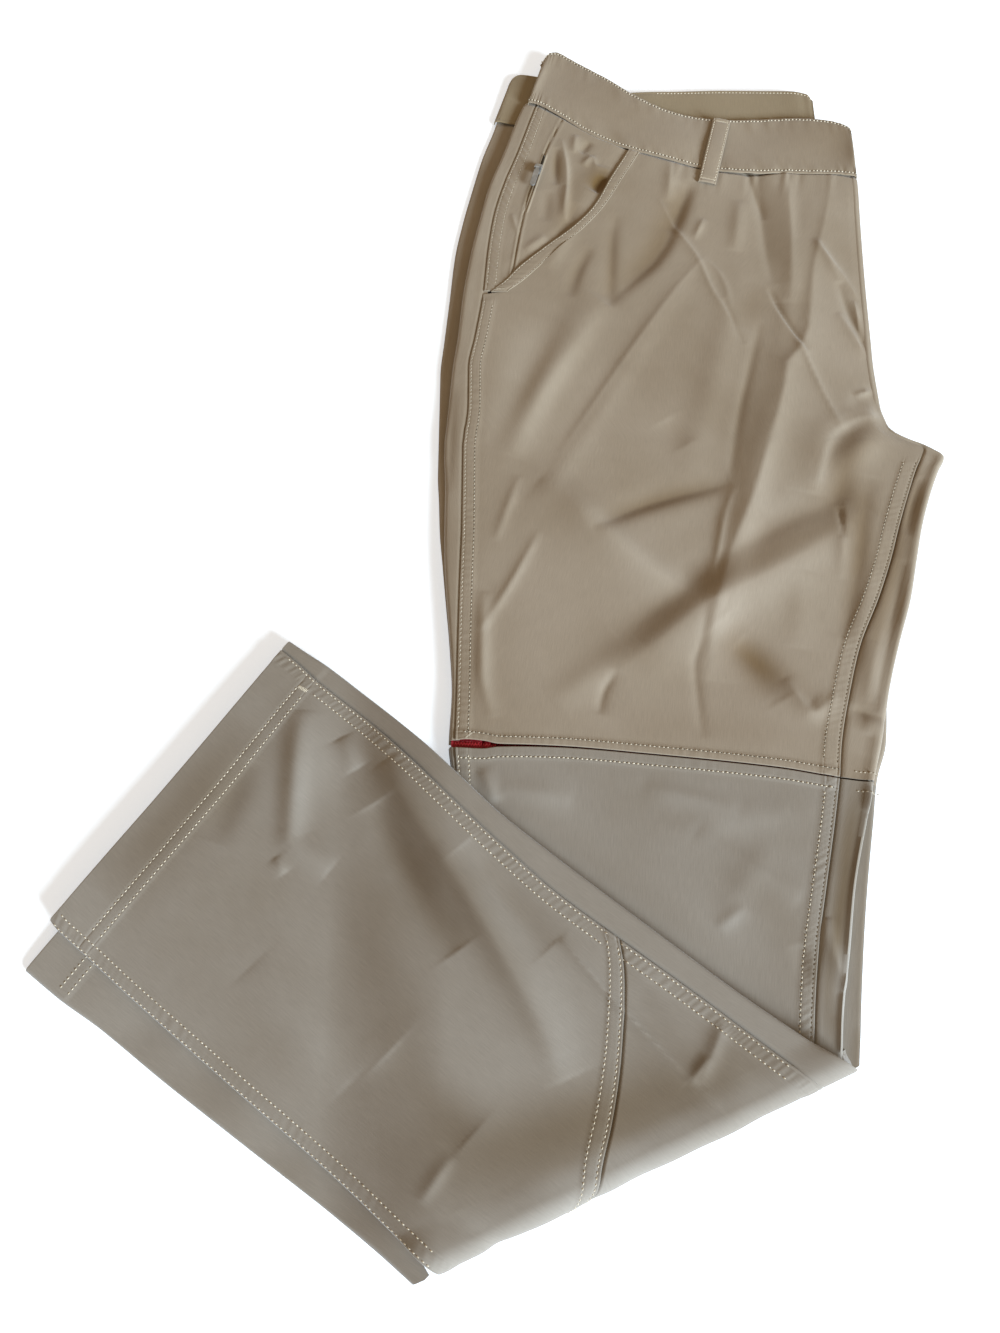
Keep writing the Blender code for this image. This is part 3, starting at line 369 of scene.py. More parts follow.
# %% Largest folds, as in the solids
# Columns: x and y of the start, x and y of the end, height, half-width
THIGH_FOLDS = [
    (226, 76, 180, 26, 4.6, 11),
    (190, 24, 118, -42, 3.4, 20),
    (118, -42, 56, -96, 2.6, 18),
    (8, 26, 80, -46, 3.2, 16),
    (38, 168, -14, 50, 1.6, 9),
    (108, 190, 6, 14, 0.9, 7),
    (196, 250, 160, 116, 1.6, 8),
    (160, 116, 104, -80, 2.4, 10),
    (140, 180, 96, 30, 1.2, 10),
    (202, 20, 190, -70, 1.8, 9),
]
CALF_FOLDS = [
    (150, -176, 70, -190, 0.8, 9),
    (128, -196, 96, -236, 0.7, 8),
]
OVER_FOLDS = [
    (-88, -140, -60, -190, 3.0, 11),
    (-60, -190, 8, -300, 3.8, 15),
    (-131, -116, -126, -176, 2.6, 13),
    (-126, -176, -70, -262, 2.2, 16),
    (-150, -240, -70, -320, 1.6, 18),
    (62, -280, 110, -318, 1.2, 7),
    (38, -248, 74, -292, 1.0, 6),
]


def folds(x, y, table):
    """Height of soft ridges: a bell across each line, times a sine that tapers both ends."""
    z = np.zeros_like(x)
    for x0, y0, x1, y1, height, half_width in table:
        length = math.hypot(x1 - x0, y1 - y0)
        ux = (x1 - x0) / length
        uy = (y1 - y0) / length
        along = ((x - x0) * ux + (y - y0) * uy) / length
        across = (x - x0) * -uy + (y - y0) * ux
        taper = np.sin(np.pi * np.clip((along + 0.2) / 1.4, 0.0, 1.0)) ** 1.5
        z = z + height * taper * bell(across, half_width)
    return z


# %% Distance beside a line
def beside(x, y, path):
    """Distance to the left of a line of points and length along it, at its nearest point. On each
    segment the foot is the projected share of its length, clipped to the segment."""
    p = np.asarray(path, float)
    step = np.diff(p, axis=0)
    length = np.hypot(step[:, 0], step[:, 1])
    unit = step / length[:, None]
    start = np.concatenate([[0.0], np.cumsum(length)[:-1]])
    dx = np.ravel(x)[:, None] - p[:-1, 0]
    dy = np.ravel(y)[:, None] - p[:-1, 1]
    foot = np.clip(dx * unit[:, 0] + dy * unit[:, 1], 0.0, length)
    gap = np.hypot(dx - foot * unit[:, 0], dy - foot * unit[:, 1])
    nearest = gap.argmin(axis=1)
    rows = np.arange(len(nearest))
    side = unit[nearest, 0] * dy[rows, nearest] - unit[nearest, 1] * dx[rows, nearest]
    across = gap[rows, nearest] * np.where(side < 0.0, -1.0, 1.0)
    along = start[nearest] + foot[rows, nearest]
    return across.reshape(np.shape(x)), along.reshape(np.shape(x))


def curve(points, count=24):
    """Smooth line through a few points: each coordinate is a cubic of the length walked."""
    p = np.asarray(points, float)
    walked = np.concatenate([[0.0], np.cumsum(np.hypot(*np.diff(p, axis=0).T))])
    at = np.linspace(0.0, walked[-1], count)
    if len(p) == 2:
        return np.stack([np.interp(at, walked, p[:, k]) for k in range(2)], axis=-1)
    return np.stack([pchip(at, walked, p[:, k]) for k in range(2)], axis=-1)


def creases(x, y, table):
    """Height of listed creases, or, from a table of painted shading, how much painted shade or
    highlight. Across, each is its height times the exponential of minus the distance over the
    width, to its power: 2 is a soft bell, 1 a sharp pressed line. Along, a sine tapers both ends.
    Only points within three widths are worked out."""
    z = np.zeros_like(x)
    for height, left_width, right_width, power, *points in table:
        path = curve(np.reshape(points, (-1, 2)))
        reach = 3.0 * max(left_width, right_width)
        near = (x > path[:, 0].min() - reach) & (x < path[:, 0].max() + reach)
        near &= (y > path[:, 1].min() - reach) & (y < path[:, 1].max() + reach)
        if not near.any():
            continue
        across, along = beside(x[near], y[near], path)
        length = float(np.hypot(*np.diff(path, axis=0).T).sum())
        width = np.where(across > 0.0, left_width, right_width)
        taper = np.sin(np.pi * np.clip(along / length, 0.0, 1.0)) ** 0.6
        z[near] += height * taper * np.exp(-((np.abs(across) / width) ** power))
    return z


CREASE_GAIN = 2.4  # set against the light


def crease_painted_shading(x, y, table, shades):
    """Painted shading from -1, full painted shade, to 0.4, painted highlight: painted highlight
    along the ridges of the creases, painted shade in their troughs, and the soft painted shading
    of a table added to that."""
    relief = creases(x, y, table)
    tone = 0.34 * np.minimum(relief, 0.0) + 0.1 * np.maximum(relief, 0.0) + creases(x, y, shades)
    return np.clip(tone, -1.0, 0.4)


# %% Creases and painted shading, placed one by one
# Columns: height, width to the left of the way the crease runs, width to its right, sharpness, and
# then x and y of each point in turn, all in millimetres
THIGH_CREASES = [
    (0.9, 5, 12, 1.7, 226, 72, 214, 73, 200, 69, 186, 58, 178, 39, 172, 16),
    (-0.9, 9, 11, 1.8, 226, 63, 208, 60, 195, 46, 190, 26, 184, 12, 158, 0, 136, -13, 116, -26,
     96, -42, 72, -60, 48, -78),
    (0.6, 3, 3, 1.4, 219, 93, 206, 88),
    (1.1, 22, 9, 1.7, 204, 8, 188, -6, 154, -29, 132, -41, 112, -52, 96, -61, 78, -76, 62, -88,
     40, -106),
    (-0.7, 10, 9, 2, 106, -70, 124, -90, 140, -116),
    (-0.6, 2.5, 3, 1.3, 36, -124, 39, -111, 47, -98),
    (1.1, 9, 12, 1.5, 4, 26, 17, 16, 41, -9, 64, -30, 96, -50, 112, -56),
    (-1.1, 9, 5, 1.6, 34, -8, 46, -2, 62, 7, 88, 16, 122, 25),
    (1.25, 16, 6.5, 1.1, 214, 276, 204, 236, 190, 188, 178, 128, 167, 118, 160, 90, 150, 60, 132, 9,
     118, -22, 104, -67, 99, -104),
    (-0.4, 3.4, 3, 1.7, 152, 147, 142, 112, 132, 76, 126, 49, 121, 23),
    (0.5, 1.8, 2.2, 1.2, 124, 22, 117, 4, 110, -24, 104, -44),
    (1, 5, 12, 1.4, 181, 284, 178, 220, 176, 198, 172, 160),
    (-0.6, 7, 4, 1.6, 162, 284, 160, 220, 162, 176),
    (-0.6, 3, 4, 1.6, 152, 286, 157, 254, 161, 232),
    (-0.5, 4, 5, 1.7, 60, 236, 56, 210, 55, 190, 53, 158),
    (-1, 5, 13, 1.8, 112, 262, 103, 236, 95, 216, 84, 197, 70, 182, 50, 160),
    (0.6, 2.2, 3.2, 1, 90, 250, 101, 222, 114, 196, 121, 172, 130, 151, 141, 126),
    (0.35, 2.2, 2.6, 1.1, 117, 198, 127, 185, 131, 170, 132, 150),
    (-0.5, 2, 2.4, 1.3, 129, 164, 133, 146, 139, 128),
    (0.32, 2.6, 2.2, 1, 122, 204, 101, 178, 67, 127, 34, 74, 16, 44),
    (0.65, 3, 2.4, 1, 157, 172, 164, 151, 175, 125, 186, 90, 196, 60),
    (-0.9, 2, 2.2, 1.2, 159, 172, 167, 148, 179, 122),
    (0.9, 8, 9, 1.8, 49, 167, 30, 130, 8, 92, -14, 44),
    (-0.2, 9, 9, 2, 60, 120, 30, 70, 6, 38),
    (0.6, 2.5, 3, 1.3, 4, -8, -12, -40, -31, -73),
    (0.5, 2.5, 3, 1.3, -8, 30, -23, -15),
    (0.6, 3, 3, 1.4, 215, 163, 216, 131),
    (0.6, 3, 4, 1.4, 194, 214, 208, 177),
    (0.6, 3, 4, 1.4, 203, 153, 218, 118),
    (-0.9, 6, 7, 1.7, 208, 30, 200, -4, 194, -33, 188, -52, 178, -78),
    (0.5, 4, 4, 1.6, 192, 14, 186, -14, 182, -40),
    (-0.7, 2, 2, 1.3, 187, 8, 186, -14),
    (0.7, 4, 5, 1.6, 144, -102, 157, -123, 172, -112),
    (-0.7, 8, 8, 2, 118, -80, 158, -118),
    (-0.6, 5, 6, 1.8, 113, 266, 97, 221),
    (0.6, 4, 4, 1.6, 101, 284, 96, 248),
    (0.6, 6, 5, 1.8, 146, 248, 139, 204),
    (0.4, 10, 8, 2, 160, -36, 152, -84),
    (0.6, 6, 7, 2, 30, 230, 12, 190),
    (-0.5, 4, 5, 2, 41, 208, 32, 187, 26, 166),
    (0.5, 9, 9, 2, 60, -80, 10, -118),
    (0.5, 2.5, 3, 1.4, 120, 232, 112, 214),
    (-0.4, 9, 9, 2, 84, 70, 96, 52),
    (-0.6, 2.5, 3, 1.6, 206, 178, 211, 151, 217, 132, 223, 114),
    (0.4, 3, 3, 1.4, 193, 210, 207, 187, 219, 162),
    (0.7, 4.5, 3.5, 1.8, -29, -48, -30, -74, -30, -98, -24, -126),
    (-0.45, 3, 3, 1.5, 101, -56, 97, -78, 92, -96, 93, -122, 94, -138),
]
# Painted shading, in the same columns: a negative height is painted shade, which darkens and warms the
# cloth's colour; a positive one is painted highlight, which pales and cools it.
THIGH_PAINTED_SHADING = [
    (-0.5, 9, 10, 2, 224, 61, 208, 57, 196, 42, 192, 20, 188, 2, 165, -13, 128, -33, 104, -46,
     79, -64, 58, -82, 44, -98),
    (-0.52, 14, 13, 2, 108, -76, 126, -92, 138, -112),
    (-0.3, 7, 4, 1.8, 40, -5, 60, 6, 90, 17, 122, 24),
    (0.24, 6, 7, 1.8, 30, 14, 53, -17, 70, -32, 92, -44),
    (-0.26, 4, 8, 1.8, 200, 236, 185, 176, 174, 140, 160, 105, 142, 58, 125, 10),
    (-0.26, 3.2, 2.6, 1.8, 152, 146, 143, 112, 133, 76, 127, 48, 121, 24),
    (-0.24, 9, 9, 2, 178, 262, 172, 220, 164, 190),
    (-0.34, 8, 8, 1.8, 206, 30, 198, -10, 190, -46, 180, -78),
    (-0.2, 14, 10, 1.8, 204, 20, 190, -40),
    (-0.36, 8, 13, 2, 104, 262, 94, 228, 82, 200, 62, 176),
    (-0.28, 4, 5, 1.8, 57, 226, 55, 190, 53, 160),
    (-0.22, 5, 7, 2, 42, 208, 32, 187, 24, 166),
    (-0.3, 12, 9, 2, 154, 176, 146, 156, 140, 140),
    (-0.1, 20, 24, 2, 100, 120, 60, 96),
    (-0.14, 18, 20, 2, 130, 100, 110, 60),
    (0.26, 11, 9, 1.8, 174, 44, 160, 16, 140, 0),
    (0.12, 12, 10, 1.8, 182, -22, 158, -40, 134, -58),
    (0.75, 4, 5, 1.8, 226, 74, 214, 74, 200, 69, 186, 58, 179, 40, 172, 20),
    (0.5, 4, 4, 1.8, 200, 78, 208, 90, 220, 97),
    (-0.3, 6, 5, 2, 214, 150, 220, 118),
    (-0.16, 26, 20, 2, 30, -60, 90, -108, 140, -130),
    (0.14, 9, 10, 1.8, 110, 8, 66, -12),
    (0.34, 14, 14, 2, 4, 150, -8, 110, -24, 50),
    (0.1, 16, 14, 2, 40, 60, 10, 20),
    (0.1, 8, 8, 2, 20, 262, 70, 246),
    (-0.4, 3, 3, 1.8, -35, -44, -35, -89, -37, -120),
    (0.35, 4, 4, 1.8, -29, -50, -30, -98, -26, -122),
    (-0.12, 8, 8, 2, 40, -124, 95, -133, 160, -138),
    (-0.1, 5, 7, 2, -30, 120, -36, 20, -38, -60),
]
CALF_CREASES = [
    (0.6, 6, 7, 1.8, 88, -190, 139, -227),
    (0.4, 4, 4, 1.6, 94, -242, 110, -230),
    (-0.5, 5, 5, 2, 137, -250, 141, -270),
    (0.4, 7, 6, 1.8, -20, -166, 20, -172),
    (0.4, 5, 7, 1.8, 60, -166, 110, -178),
    (0.7, 4, 4, 1.6, -30, -156, -22, -174),
]
# Painted shading of the calf front.
CALF_PAINTED_SHADING = [
    (-0.14, 10, 14, 1.6, -36, -158, 30, -207, 90, -252, 150, -298),
    (0.08, 8, 12, 2, 20, -160, 130, -172),
    (-0.3, 16, 16, 2, 96, -196, 130, -238, 138, -284),
]
BACK_CREASES = [
    (-0.9, 4, 5, 2, 222, -27, 208, -79, 197, -116),
    (0.7, 4, 4, 1.8, 196, -79, 190, -116),
    (0.7, 3, 3, 1.6, 192, -121, 187, -136),
    (-0.7, 3, 4, 1.8, 178, -120, 202, -128),
    (1.1, 3, 6, 1.6, 152, -236, 154, -256, 160, -272),
    (-0.7, 4, 4, 2, 240, 30, 226, -10),
    (0.6, 3, 3, 1.6, 186, -166, 181, -180),
    (-0.4, 3, 3, 2, -50, 100, -52, 20),
]
# Painted shading of the back strips: painted shade along them, painted highlight on their rims.
BACK_PAINTED_SHADING = [
    (-0.66, 6.5, 6.5, 2, 243, 42, 233, 18, 221, -16, 209, -46, 198, -76, 190, -104, 182, -134),
    (-0.9, 7, 6, 2, 185, -148, 170, -195, 161, -229, 153, -260, 149, -284, 147, -312),
    (-0.2, 4, 4, 2, 178, -146, 166, -190, 158, -215),
    (-0.16, 3, 4, 2, -52, 150, -53, 60, -50, -40, -48, -130),
    (0.4, 4, 4, 2, -2, 334, -23, 262, -29, 235, -34, 205, -39, 172, -44, 120),
    (0.3, 3, 4, 1.8, 206, -72, 199, -96, 190, -116),
    (0.45, 3, 4, 1.8, 161, -250, 155, -270, 152, -286),
    (0.8, 1.3, 1.5, 2, 186, -164, 178, -195, 169, -226, 162, -258, 155, -291, 152, -318),
]
# Painted shade on the left leg's strip beside the top leg.
LEFT_PAINTED_SHADING = [
    (-0.55, 7, 8, 2, 192, -150, 182, -200, 170, -262, 164, -300, 160, -336),
    (-0.35, 6, 6, 2, 166, -290, 162, -330),
]
# Painted shade in the pocket facing, along the coin zip's seam and round its tab.
FACING_PAINTED_SHADING = [
    (-0.4, 0.9, 0.9, 2, 24.5, 323, 12, 292, 6.6, 273.3),
    (-0.45, 0.9, 0.9, 2, -2.6, 240, -6.3, 222, -11.9, 186),
    (-0.75, 2.6, 2.8, 2.4, 9, 284, 4, 268, -3, 243),
    (-0.75, 6, 5, 2, 46, 254, 52, 268, 57, 279),
    (-0.3, 5, 5, 2, 41, 262, 48, 280),
    (-0.42, 10, 9, 2, 46, 282, 34, 262, 24, 236, 12, 214),
    (0.22, 2, 3.5, 1.6, 24, 304, 27, 273, 25, 240),
    (-0.28, 3, 3, 2, 19, 296, 18, 262),
    (-0.16, 7, 7, 2, 12, 212, -6, 190),
    (0.12, 5, 5, 2, 46, 292, 58, 284),
]
# Painted shading of the folded left leg.
OVER_PAINTED_SHADING = [
    (-0.42, 13, 8, 1.8, -84, -153, -62, -190, -36, -232, -14, -268, 4, -306),
    (0.12, 10, 12, 2, -92, -176, -66, -226, -46, -262),
    (0.06, 14, 14, 2, -150, -140, -156, -190, -140, -240),
    (-0.74, 20, 24, 2, -80, -352, -30, -348, 30, -332, 78, -315, 128, -296),
    (-0.48, 16, 20, 2, -230, -226, -196, -182, -160, -130),
    (-0.08, 12, 12, 2, -190, -250, -110, -320),
]
FACING_CREASES = [
    (1.1, 2.2, 4, 1.4, 24, 304, 27, 273, 25, 232),
    (-1.1, 3, 3, 1.8, 20, 296, 19, 262),
    (0.8, 3, 3, 1.6, 34, 308, 32, 291),
    (-0.8, 3, 3, 1.8, 37, 291, 44, 302),
    (0.9, 3, 3, 1.6, 38, 279, 45, 288),
    (0.7, 2.5, 2.5, 1.4, 46, 289, 47, 279, 57, 275),
    (-1.7, 6, 5, 2, 46, 256, 54, 270),
    (0.7, 3, 3, 1.4, 26, 260, 24, 237, 26, 229),
    (0.5, 2, 2, 1.6, -12, 237, -8, 219),
    (0.6, 3.5, 3.5, 1.8, 11, 217, -3, 205),
    (-0.5, 4, 4, 2, 13, 257, 11, 230),
    (-0.6, 5, 5, 2, 34, 245, 20, 215),
]
OVER_CREASES = [
    (1.6, 14, 7, 1.8, -84, -153, -66, -182, -42, -216, -19, -254, -1, -285, 12, -315),
    (-1.5, 10, 10, 2, -89, -176, -64, -221, -42, -254),
    (1.2, 7, 7, 1.9, -132, -122, -133, -153, -133, -192, -111, -212),
    (0.8, 6, 6, 1.8, -109, -138, -99, -156),
    (-0.9, 12, 12, 2, -75, -302, -55, -322, -35, -341),
    (0.7, 2.5, 3.5, 1.2, 11, -248, 35, -276, 73, -315),
    (0.6, 3, 3, 1.2, 11, -248, 45, -286, 95, -335),
    (0.5, 3, 3, 1.6, 83, -304, 72, -317),
    (0.5, 3, 4, 1.6, -43, -348, -58, -369),
    (0.6, 4, 4, 1.6, 98, -278, 88, -296, 78, -317),
    (0.5, 3, 3, 1.4, -141, -205, -135, -213),
    (-0.6, 9, 9, 2, -160, -150, -176, -196),
    (-0.9, 10, 10, 2, -40, -200, 6, -252),
    (0.6, 12, 10, 2, -150, -262, -96, -318),
    (-0.5, 8, 8, 2, 130, -262, 98, -290),
]
print(len(THIGH_CREASES) + len(CALF_CREASES) + len(BACK_CREASES), "creases on the upper legs")
print(len(OVER_CREASES) + len(FACING_CREASES), "on the folded leg and in the pocket")


# %% [markdown]
# A sewn seam pulls the cloth in along its stitches. Beside it, the spare cloth underneath makes
# the panel a little thicker as far as the second stitch line, each stitch line lies in a groove,
# and between the two lines the cloth stands up in small uneven ripples. This relief belongs in
# the shape, because the low light picks out every ripple.

# %% Relief beside a seam
def wave(along, pitch):
    """Uneven ripple: two sines of different pitch, each with a phase that wanders, and with
    heights that swell and fade so that no two ripples match."""
    drift = 1.9 * np.sin(along / 9.7) + 1.3 * np.sin(along / 4.3 + 1.3) + 1.6 * np.sin(along / 27.0)
    swell = 0.5 + 0.32 * np.sin(along / 6.7 + 0.7) + 0.26 * np.sin(along / 15.1 + 2.1)
    second = np.sin(2.0 * np.pi * along / (0.62 * pitch) + 1.7 * drift + 1.0)
    return swell * np.sin(2.0 * np.pi * along / pitch + drift) + (0.62 - 0.5 * swell) * second


def edge_roll(inside, radius):
    """Drop of a turned edge: nought inside, and a quarter circle over its radius."""
    f = np.clip(1.0 - inside / radius, 0.0, 1.0)
    return -radius * (1.0 - np.sqrt(1.0 - f * f))


def seam_relief(inside, along, lines, lift=0.45, ripple=0.3, pitch=4.4, slant=0.0, roll=0.55):
    """Height added at a distance inside a lapped seam: the spare cloth up to the second line, the
    turned edge, a narrow bell down into each stitch line, and ripples between the lines."""
    first, second = lines
    spare = lift * (1.0 - smooth((inside - second) / 2.2))
    grooves = sum(-0.22 * bell(inside - line, 0.5) for line in lines)
    share = np.clip((inside - first + 0.6) / (second - first + 1.6), 0.0, 1.0)
    window = np.sin(np.pi * share) ** 0.7
    waves = ripple * window * wave(along + slant * inside, pitch)
    return spare + edge_roll(inside, roll) + grooves + waves


# %% [markdown]
# Every panel becomes a thin closed shell. A grid of points gives its outer side, the inner side
# lies one cloth's thickness further in along the grid's own normals, and a strip closes the rim.
# The cloth's thread directions are kept as a UV map in millimetres, for the weave. Rows and
# columns stand close together beside the seams, so that the grooves and ripples have points to
# stand on, and further apart in the middle of a panel.

# %% Places along a span
def marks(near, count, far):
    """Places along a span, as an offset from its start, one from its end and a share of what lies
    between them: set distances near both ends, and even steps in the middle."""
    near = np.asarray(near, float)
    far = np.asarray(far, float)
    middle = np.linspace(0.0, 1.0, count + 1)
    first = np.concatenate([near[:-1], np.full(count + 1, near[-1]), np.zeros(len(far) - 1)])
    last = np.concatenate([np.zeros(len(near) - 1), np.full(count + 1, far[-1]), far[:-1][::-1]])
    share = np.concatenate([np.zeros(len(near) - 1), middle, np.ones(len(far) - 1)])
    return first, last, share


def between(start, end, places):
    """Value at each place between two ends: the start plus its offset, the end less its own, mixed
    by the share."""
    first, last, share = places
    return (start + first) * (1.0 - share) + (end - last) * share


def stitch_marks(lines, roll=0.8):
    """Distances inside a seam at which a grid needs a line: close ones over the turned edge, five
    across each stitch line, and wider ones between."""
    needed = [0.0, 0.06, 0.18, 0.35, 0.6, roll, lines[-1] + 1.2, lines[-1] + 2.4]
    needed += [line + step for line in lines for step in (-0.5, -0.22, 0.0, 0.22, 0.5)]
    between_lines = np.arange(roll + 0.9, lines[-1] - 0.6, 1.1)
    spare = [v for v in between_lines if min(abs(v - other) for other in needed) > 0.45]
    return sorted(needed + spare)


# %% Shells from grids
CLOTH = 0.7
pieces = {}


def grid_normals(grid, closed):
    """Unit normals: the cross product of the differences along the rows and across them."""
    along = np.gradient(grid, axis=0)
    if closed:
        across = np.roll(grid, -1, axis=1) - np.roll(grid, 1, axis=1)
    else:
        across = np.gradient(grid, axis=1)
    normal = np.cross(along, across)
    length = np.linalg.norm(normal, axis=-1, keepdims=True)
    return normal / np.maximum(length, 1e-9)


def grid_quads(rows, columns, closed):
    """Corners of the cells, listed so that they face the side the normals point to."""
    i = np.arange(rows - 1)[:, None]
    j = np.arange(columns if closed else columns - 1)[None, :]
    after = (j + 1) % columns
    a = i * columns + j
    b = i * columns + after
    c = (i + 1) * columns + after
    d = (i + 1) * columns + j
    return stack(a, d, c, b).reshape(-1, 4)


def rim_ring(rows, columns):
    """Indices once round the border of an open grid."""
    top = np.arange(columns - 1)
    right = np.arange(rows - 1) * columns + columns - 1
    bottom = (rows - 1) * columns + np.arange(columns - 1, 0, -1)
    left = np.arange(rows - 1, 0, -1) * columns
    return np.concatenate([top, right, bottom, left])


def thread_directions(grid):
    """UV in millimetres: the length walked across each row and along each column."""
    across = np.linalg.norm(np.diff(grid, axis=1), axis=-1)
    along = np.linalg.norm(np.diff(grid, axis=0), axis=-1)
    u = np.concatenate([np.zeros((grid.shape[0], 1)), np.cumsum(across, axis=1)], axis=1)
    v = np.concatenate([np.zeros((1, grid.shape[1])), np.cumsum(along, axis=0)], axis=0)
    return stack(u - u.mean(axis=1, keepdims=True), v)


def add_mesh(name, points, faces, finish, uv=None, smooth_angle=50.0, tone=None):
    """Puts arrays of points in millimetres of the drawing, and of faces, into one object."""
    mesh = bpy.data.meshes.new(name)
    place = points + np.array([CENTRE_SHIFT[0], CENTRE_SHIFT[1], 0.0])
    mesh.vertices.add(len(place))
    mesh.vertices.foreach_set("co", (place * MM).astype(np.float32).ravel())
    corners = faces.shape[1]
    mesh.loops.add(faces.size)
    mesh.loops.foreach_set("vertex_index", faces.astype(np.int32).ravel())
    mesh.polygons.add(len(faces))
    mesh.polygons.foreach_set("loop_start", np.arange(0, faces.size, corners, dtype=np.int32))
    mesh.polygons.foreach_set("use_smooth", np.ones(len(faces), bool))
    if uv is not None:
        layer = mesh.uv_layers.new(name="threads")
        layer.data.foreach_set("uv", (uv[faces.ravel()]).astype(np.float32).ravel())
    if tone is not None:
        mesh.attributes.new("tone", "FLOAT", "POINT").data.foreach_set("value", tone.astype(np.float32))
    mesh.update(calc_edges=True)
    mesh.validate()
    mesh.set_sharp_from_angle(angle=math.radians(smooth_angle))
    made = bpy.data.objects.new(name, mesh)
    bpy.context.scene.collection.objects.link(made)
    made.data.materials.append(finish)
    pieces[name] = made
    return made


def picks(count, step, closed):
    """Every so many-th index, with the last one too unless the grid closes on itself."""
    chosen = np.arange(0, count, step)
    if closed or chosen[-1] == count - 1:
        return chosen
    return np.append(chosen, count - 1)


def rim_strip(ring, is_pick, inner_of):
    """Triangles between a fine border and a coarse one: each border edge with the last picked
    point before it, and one more where the picked point changes."""
    after = np.roll(ring, -1)
    owner = np.maximum.accumulate(np.where(is_pick[ring], np.arange(len(ring)), 0))
    here = inner_of[ring[owner]]
    there = np.roll(here, -1)
    changed = here != there
    first = stack(ring, after, here)
    second = stack(after, there, here)[changed]
    return np.concatenate([first, second])


def lowest_near(height, reach):
    """Lowest height within a few rows and columns of each point."""
    low = np.pad(height, reach, mode="edge")
    for axis in (0, 1):
        low = np.lib.stride_tricks.sliding_window_view(low, 2 * reach + 1, axis=axis).min(axis=-1)
    return low


def cloth_shell(name, outer, finish, wall=CLOTH, closed=False, relief=None, tone=None, step=3):
    """Closed thin shell: the outer grid, an inner side one wall further in, and the rim. Where the
    relief is given, the inner side has one point in three each way, and sinks below the deepest
    groove near it. The painted shading is kept as an attribute that darkens or pales the cloth's
    colour."""
    rows, columns, _ = outer.shape
    step = 1 if relief is None else step
    normals = grid_normals(outer, closed)
    sink = 0.0 if relief is None else (relief - lowest_near(relief, step))[..., None]
    row_picks = picks(rows, step, False)
    column_picks = picks(columns, step, closed)
    grid_pick = np.ix_(row_picks, column_picks)
    count = rows * columns
    inner = (outer - normals * (wall + sink))[grid_pick]
    inner_of = np.full((rows, columns), -1)
    inner_of[grid_pick] = count + np.arange(inner.shape[0] * inner.shape[1]).reshape(inner.shape[:2])
    inner_of = inner_of.ravel()
    is_pick = inner_of >= 0
    outside = grid_quads(rows, columns, closed)
    inside = grid_quads(inner.shape[0], inner.shape[1], closed)[:, ::-1] + count
    quads = np.concatenate([outside, inside])
    triangles = [quads[:, [0, 1, 2]], quads[:, [0, 2, 3]]]
    if closed:
        last = (rows - 1) * columns + np.append(0, np.arange(columns - 1, 0, -1))
        triangles.append(rim_strip(np.arange(columns), is_pick, inner_of))
        triangles.append(rim_strip(last, is_pick, inner_of))
    else:
        triangles.append(rim_strip(rim_ring(rows, columns), is_pick, inner_of))
    points = np.concatenate([outer.reshape(-1, 3), inner.reshape(-1, 3)])
    uv = thread_directions(outer)
    uv = np.concatenate([uv.reshape(-1, 2), uv[grid_pick].reshape(-1, 2)])
    if tone is not None:
        tone = np.concatenate([tone.ravel(), tone[grid_pick].ravel()])
    made = add_mesh(name, points, np.concatenate(triangles), finish, uv, tone=tone)
    print(name, len(made.data.polygons), "triangles")
    return made


def cut_of(flat):
    """Cut of a panel in metres, from its grid laid flat: longest row, longest column, area."""
    across = np.linalg.norm(np.diff(flat, axis=1), axis=-1).sum(axis=1).max()
    along = np.linalg.norm(np.diff(flat, axis=0), axis=-1).sum(axis=0).max()
    a = flat[1:, 1:] - flat[:-1, :-1]
    b = flat[1:, :-1] - flat[:-1, 1:]
    if flat.shape[-1] == 2:
        cells = 0.5 * np.abs(a[..., 0] * b[..., 1] - a[..., 1] * b[..., 0])
    else:
        cells = 0.5 * np.linalg.norm(np.cross(a, b), axis=-1)
    area = min(cells.sum() * MM * MM, across * along * MM * MM)
    return (float(across * MM), float(along * MM)), float(area)


def dress(piece, solid, flat):
    """Hangs a sheet of cloth on the trousers, hides the solid it stands for, and prints how it was
    cut.
    """
    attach(piece, "trousers")
    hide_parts(solid)
    size, area = cut_of(flat)
    print(piece.name, "cut", [round(v, 3) for v in size], "m", round(area, 4), "square metres")


def relief_panel(name, solid, x, y, height, finish, tables):
    """Panel in the plan: its height, and its painted shading from a table of creases and one of
    painted shading.
    """
    z = height(x, y)
    grid = stack(x, y, z)
    made = cloth_shell(name, grid, finish, relief=z, tone=crease_painted_shading(x, y, *tables))
    dress(made, solid, grid)


# %% Plans of the panels
def meet(line, left, right, places, guess):
    """Y at which each place across the sections meets a line: halving steps towards it."""
    y = np.full_like(places[0], guess)
    for _ in range(40):
        x = between(left(y), right(y), places)
        y = 0.5 * y + 0.5 * line(x)
    return y


def down(places):
    """The same places as a column, to run down a grid."""
    return tuple(part[:, None] for part in places)


def upper_grid(left, right, top, bottom, columns, rows, guess):
    """Plan of an upper panel: places across between its side lines, and places down from its top
    line to its bottom line."""
    y_top = meet(top, left, right, columns, guess[0])
    y_bottom = meet(bottom, left, right, columns, guess[1])
    first, last, share = down(rows)
    y = (y_top - first) * (1.0 - share) + (y_bottom + last) * share
    return between(left(y), right(y), columns), y


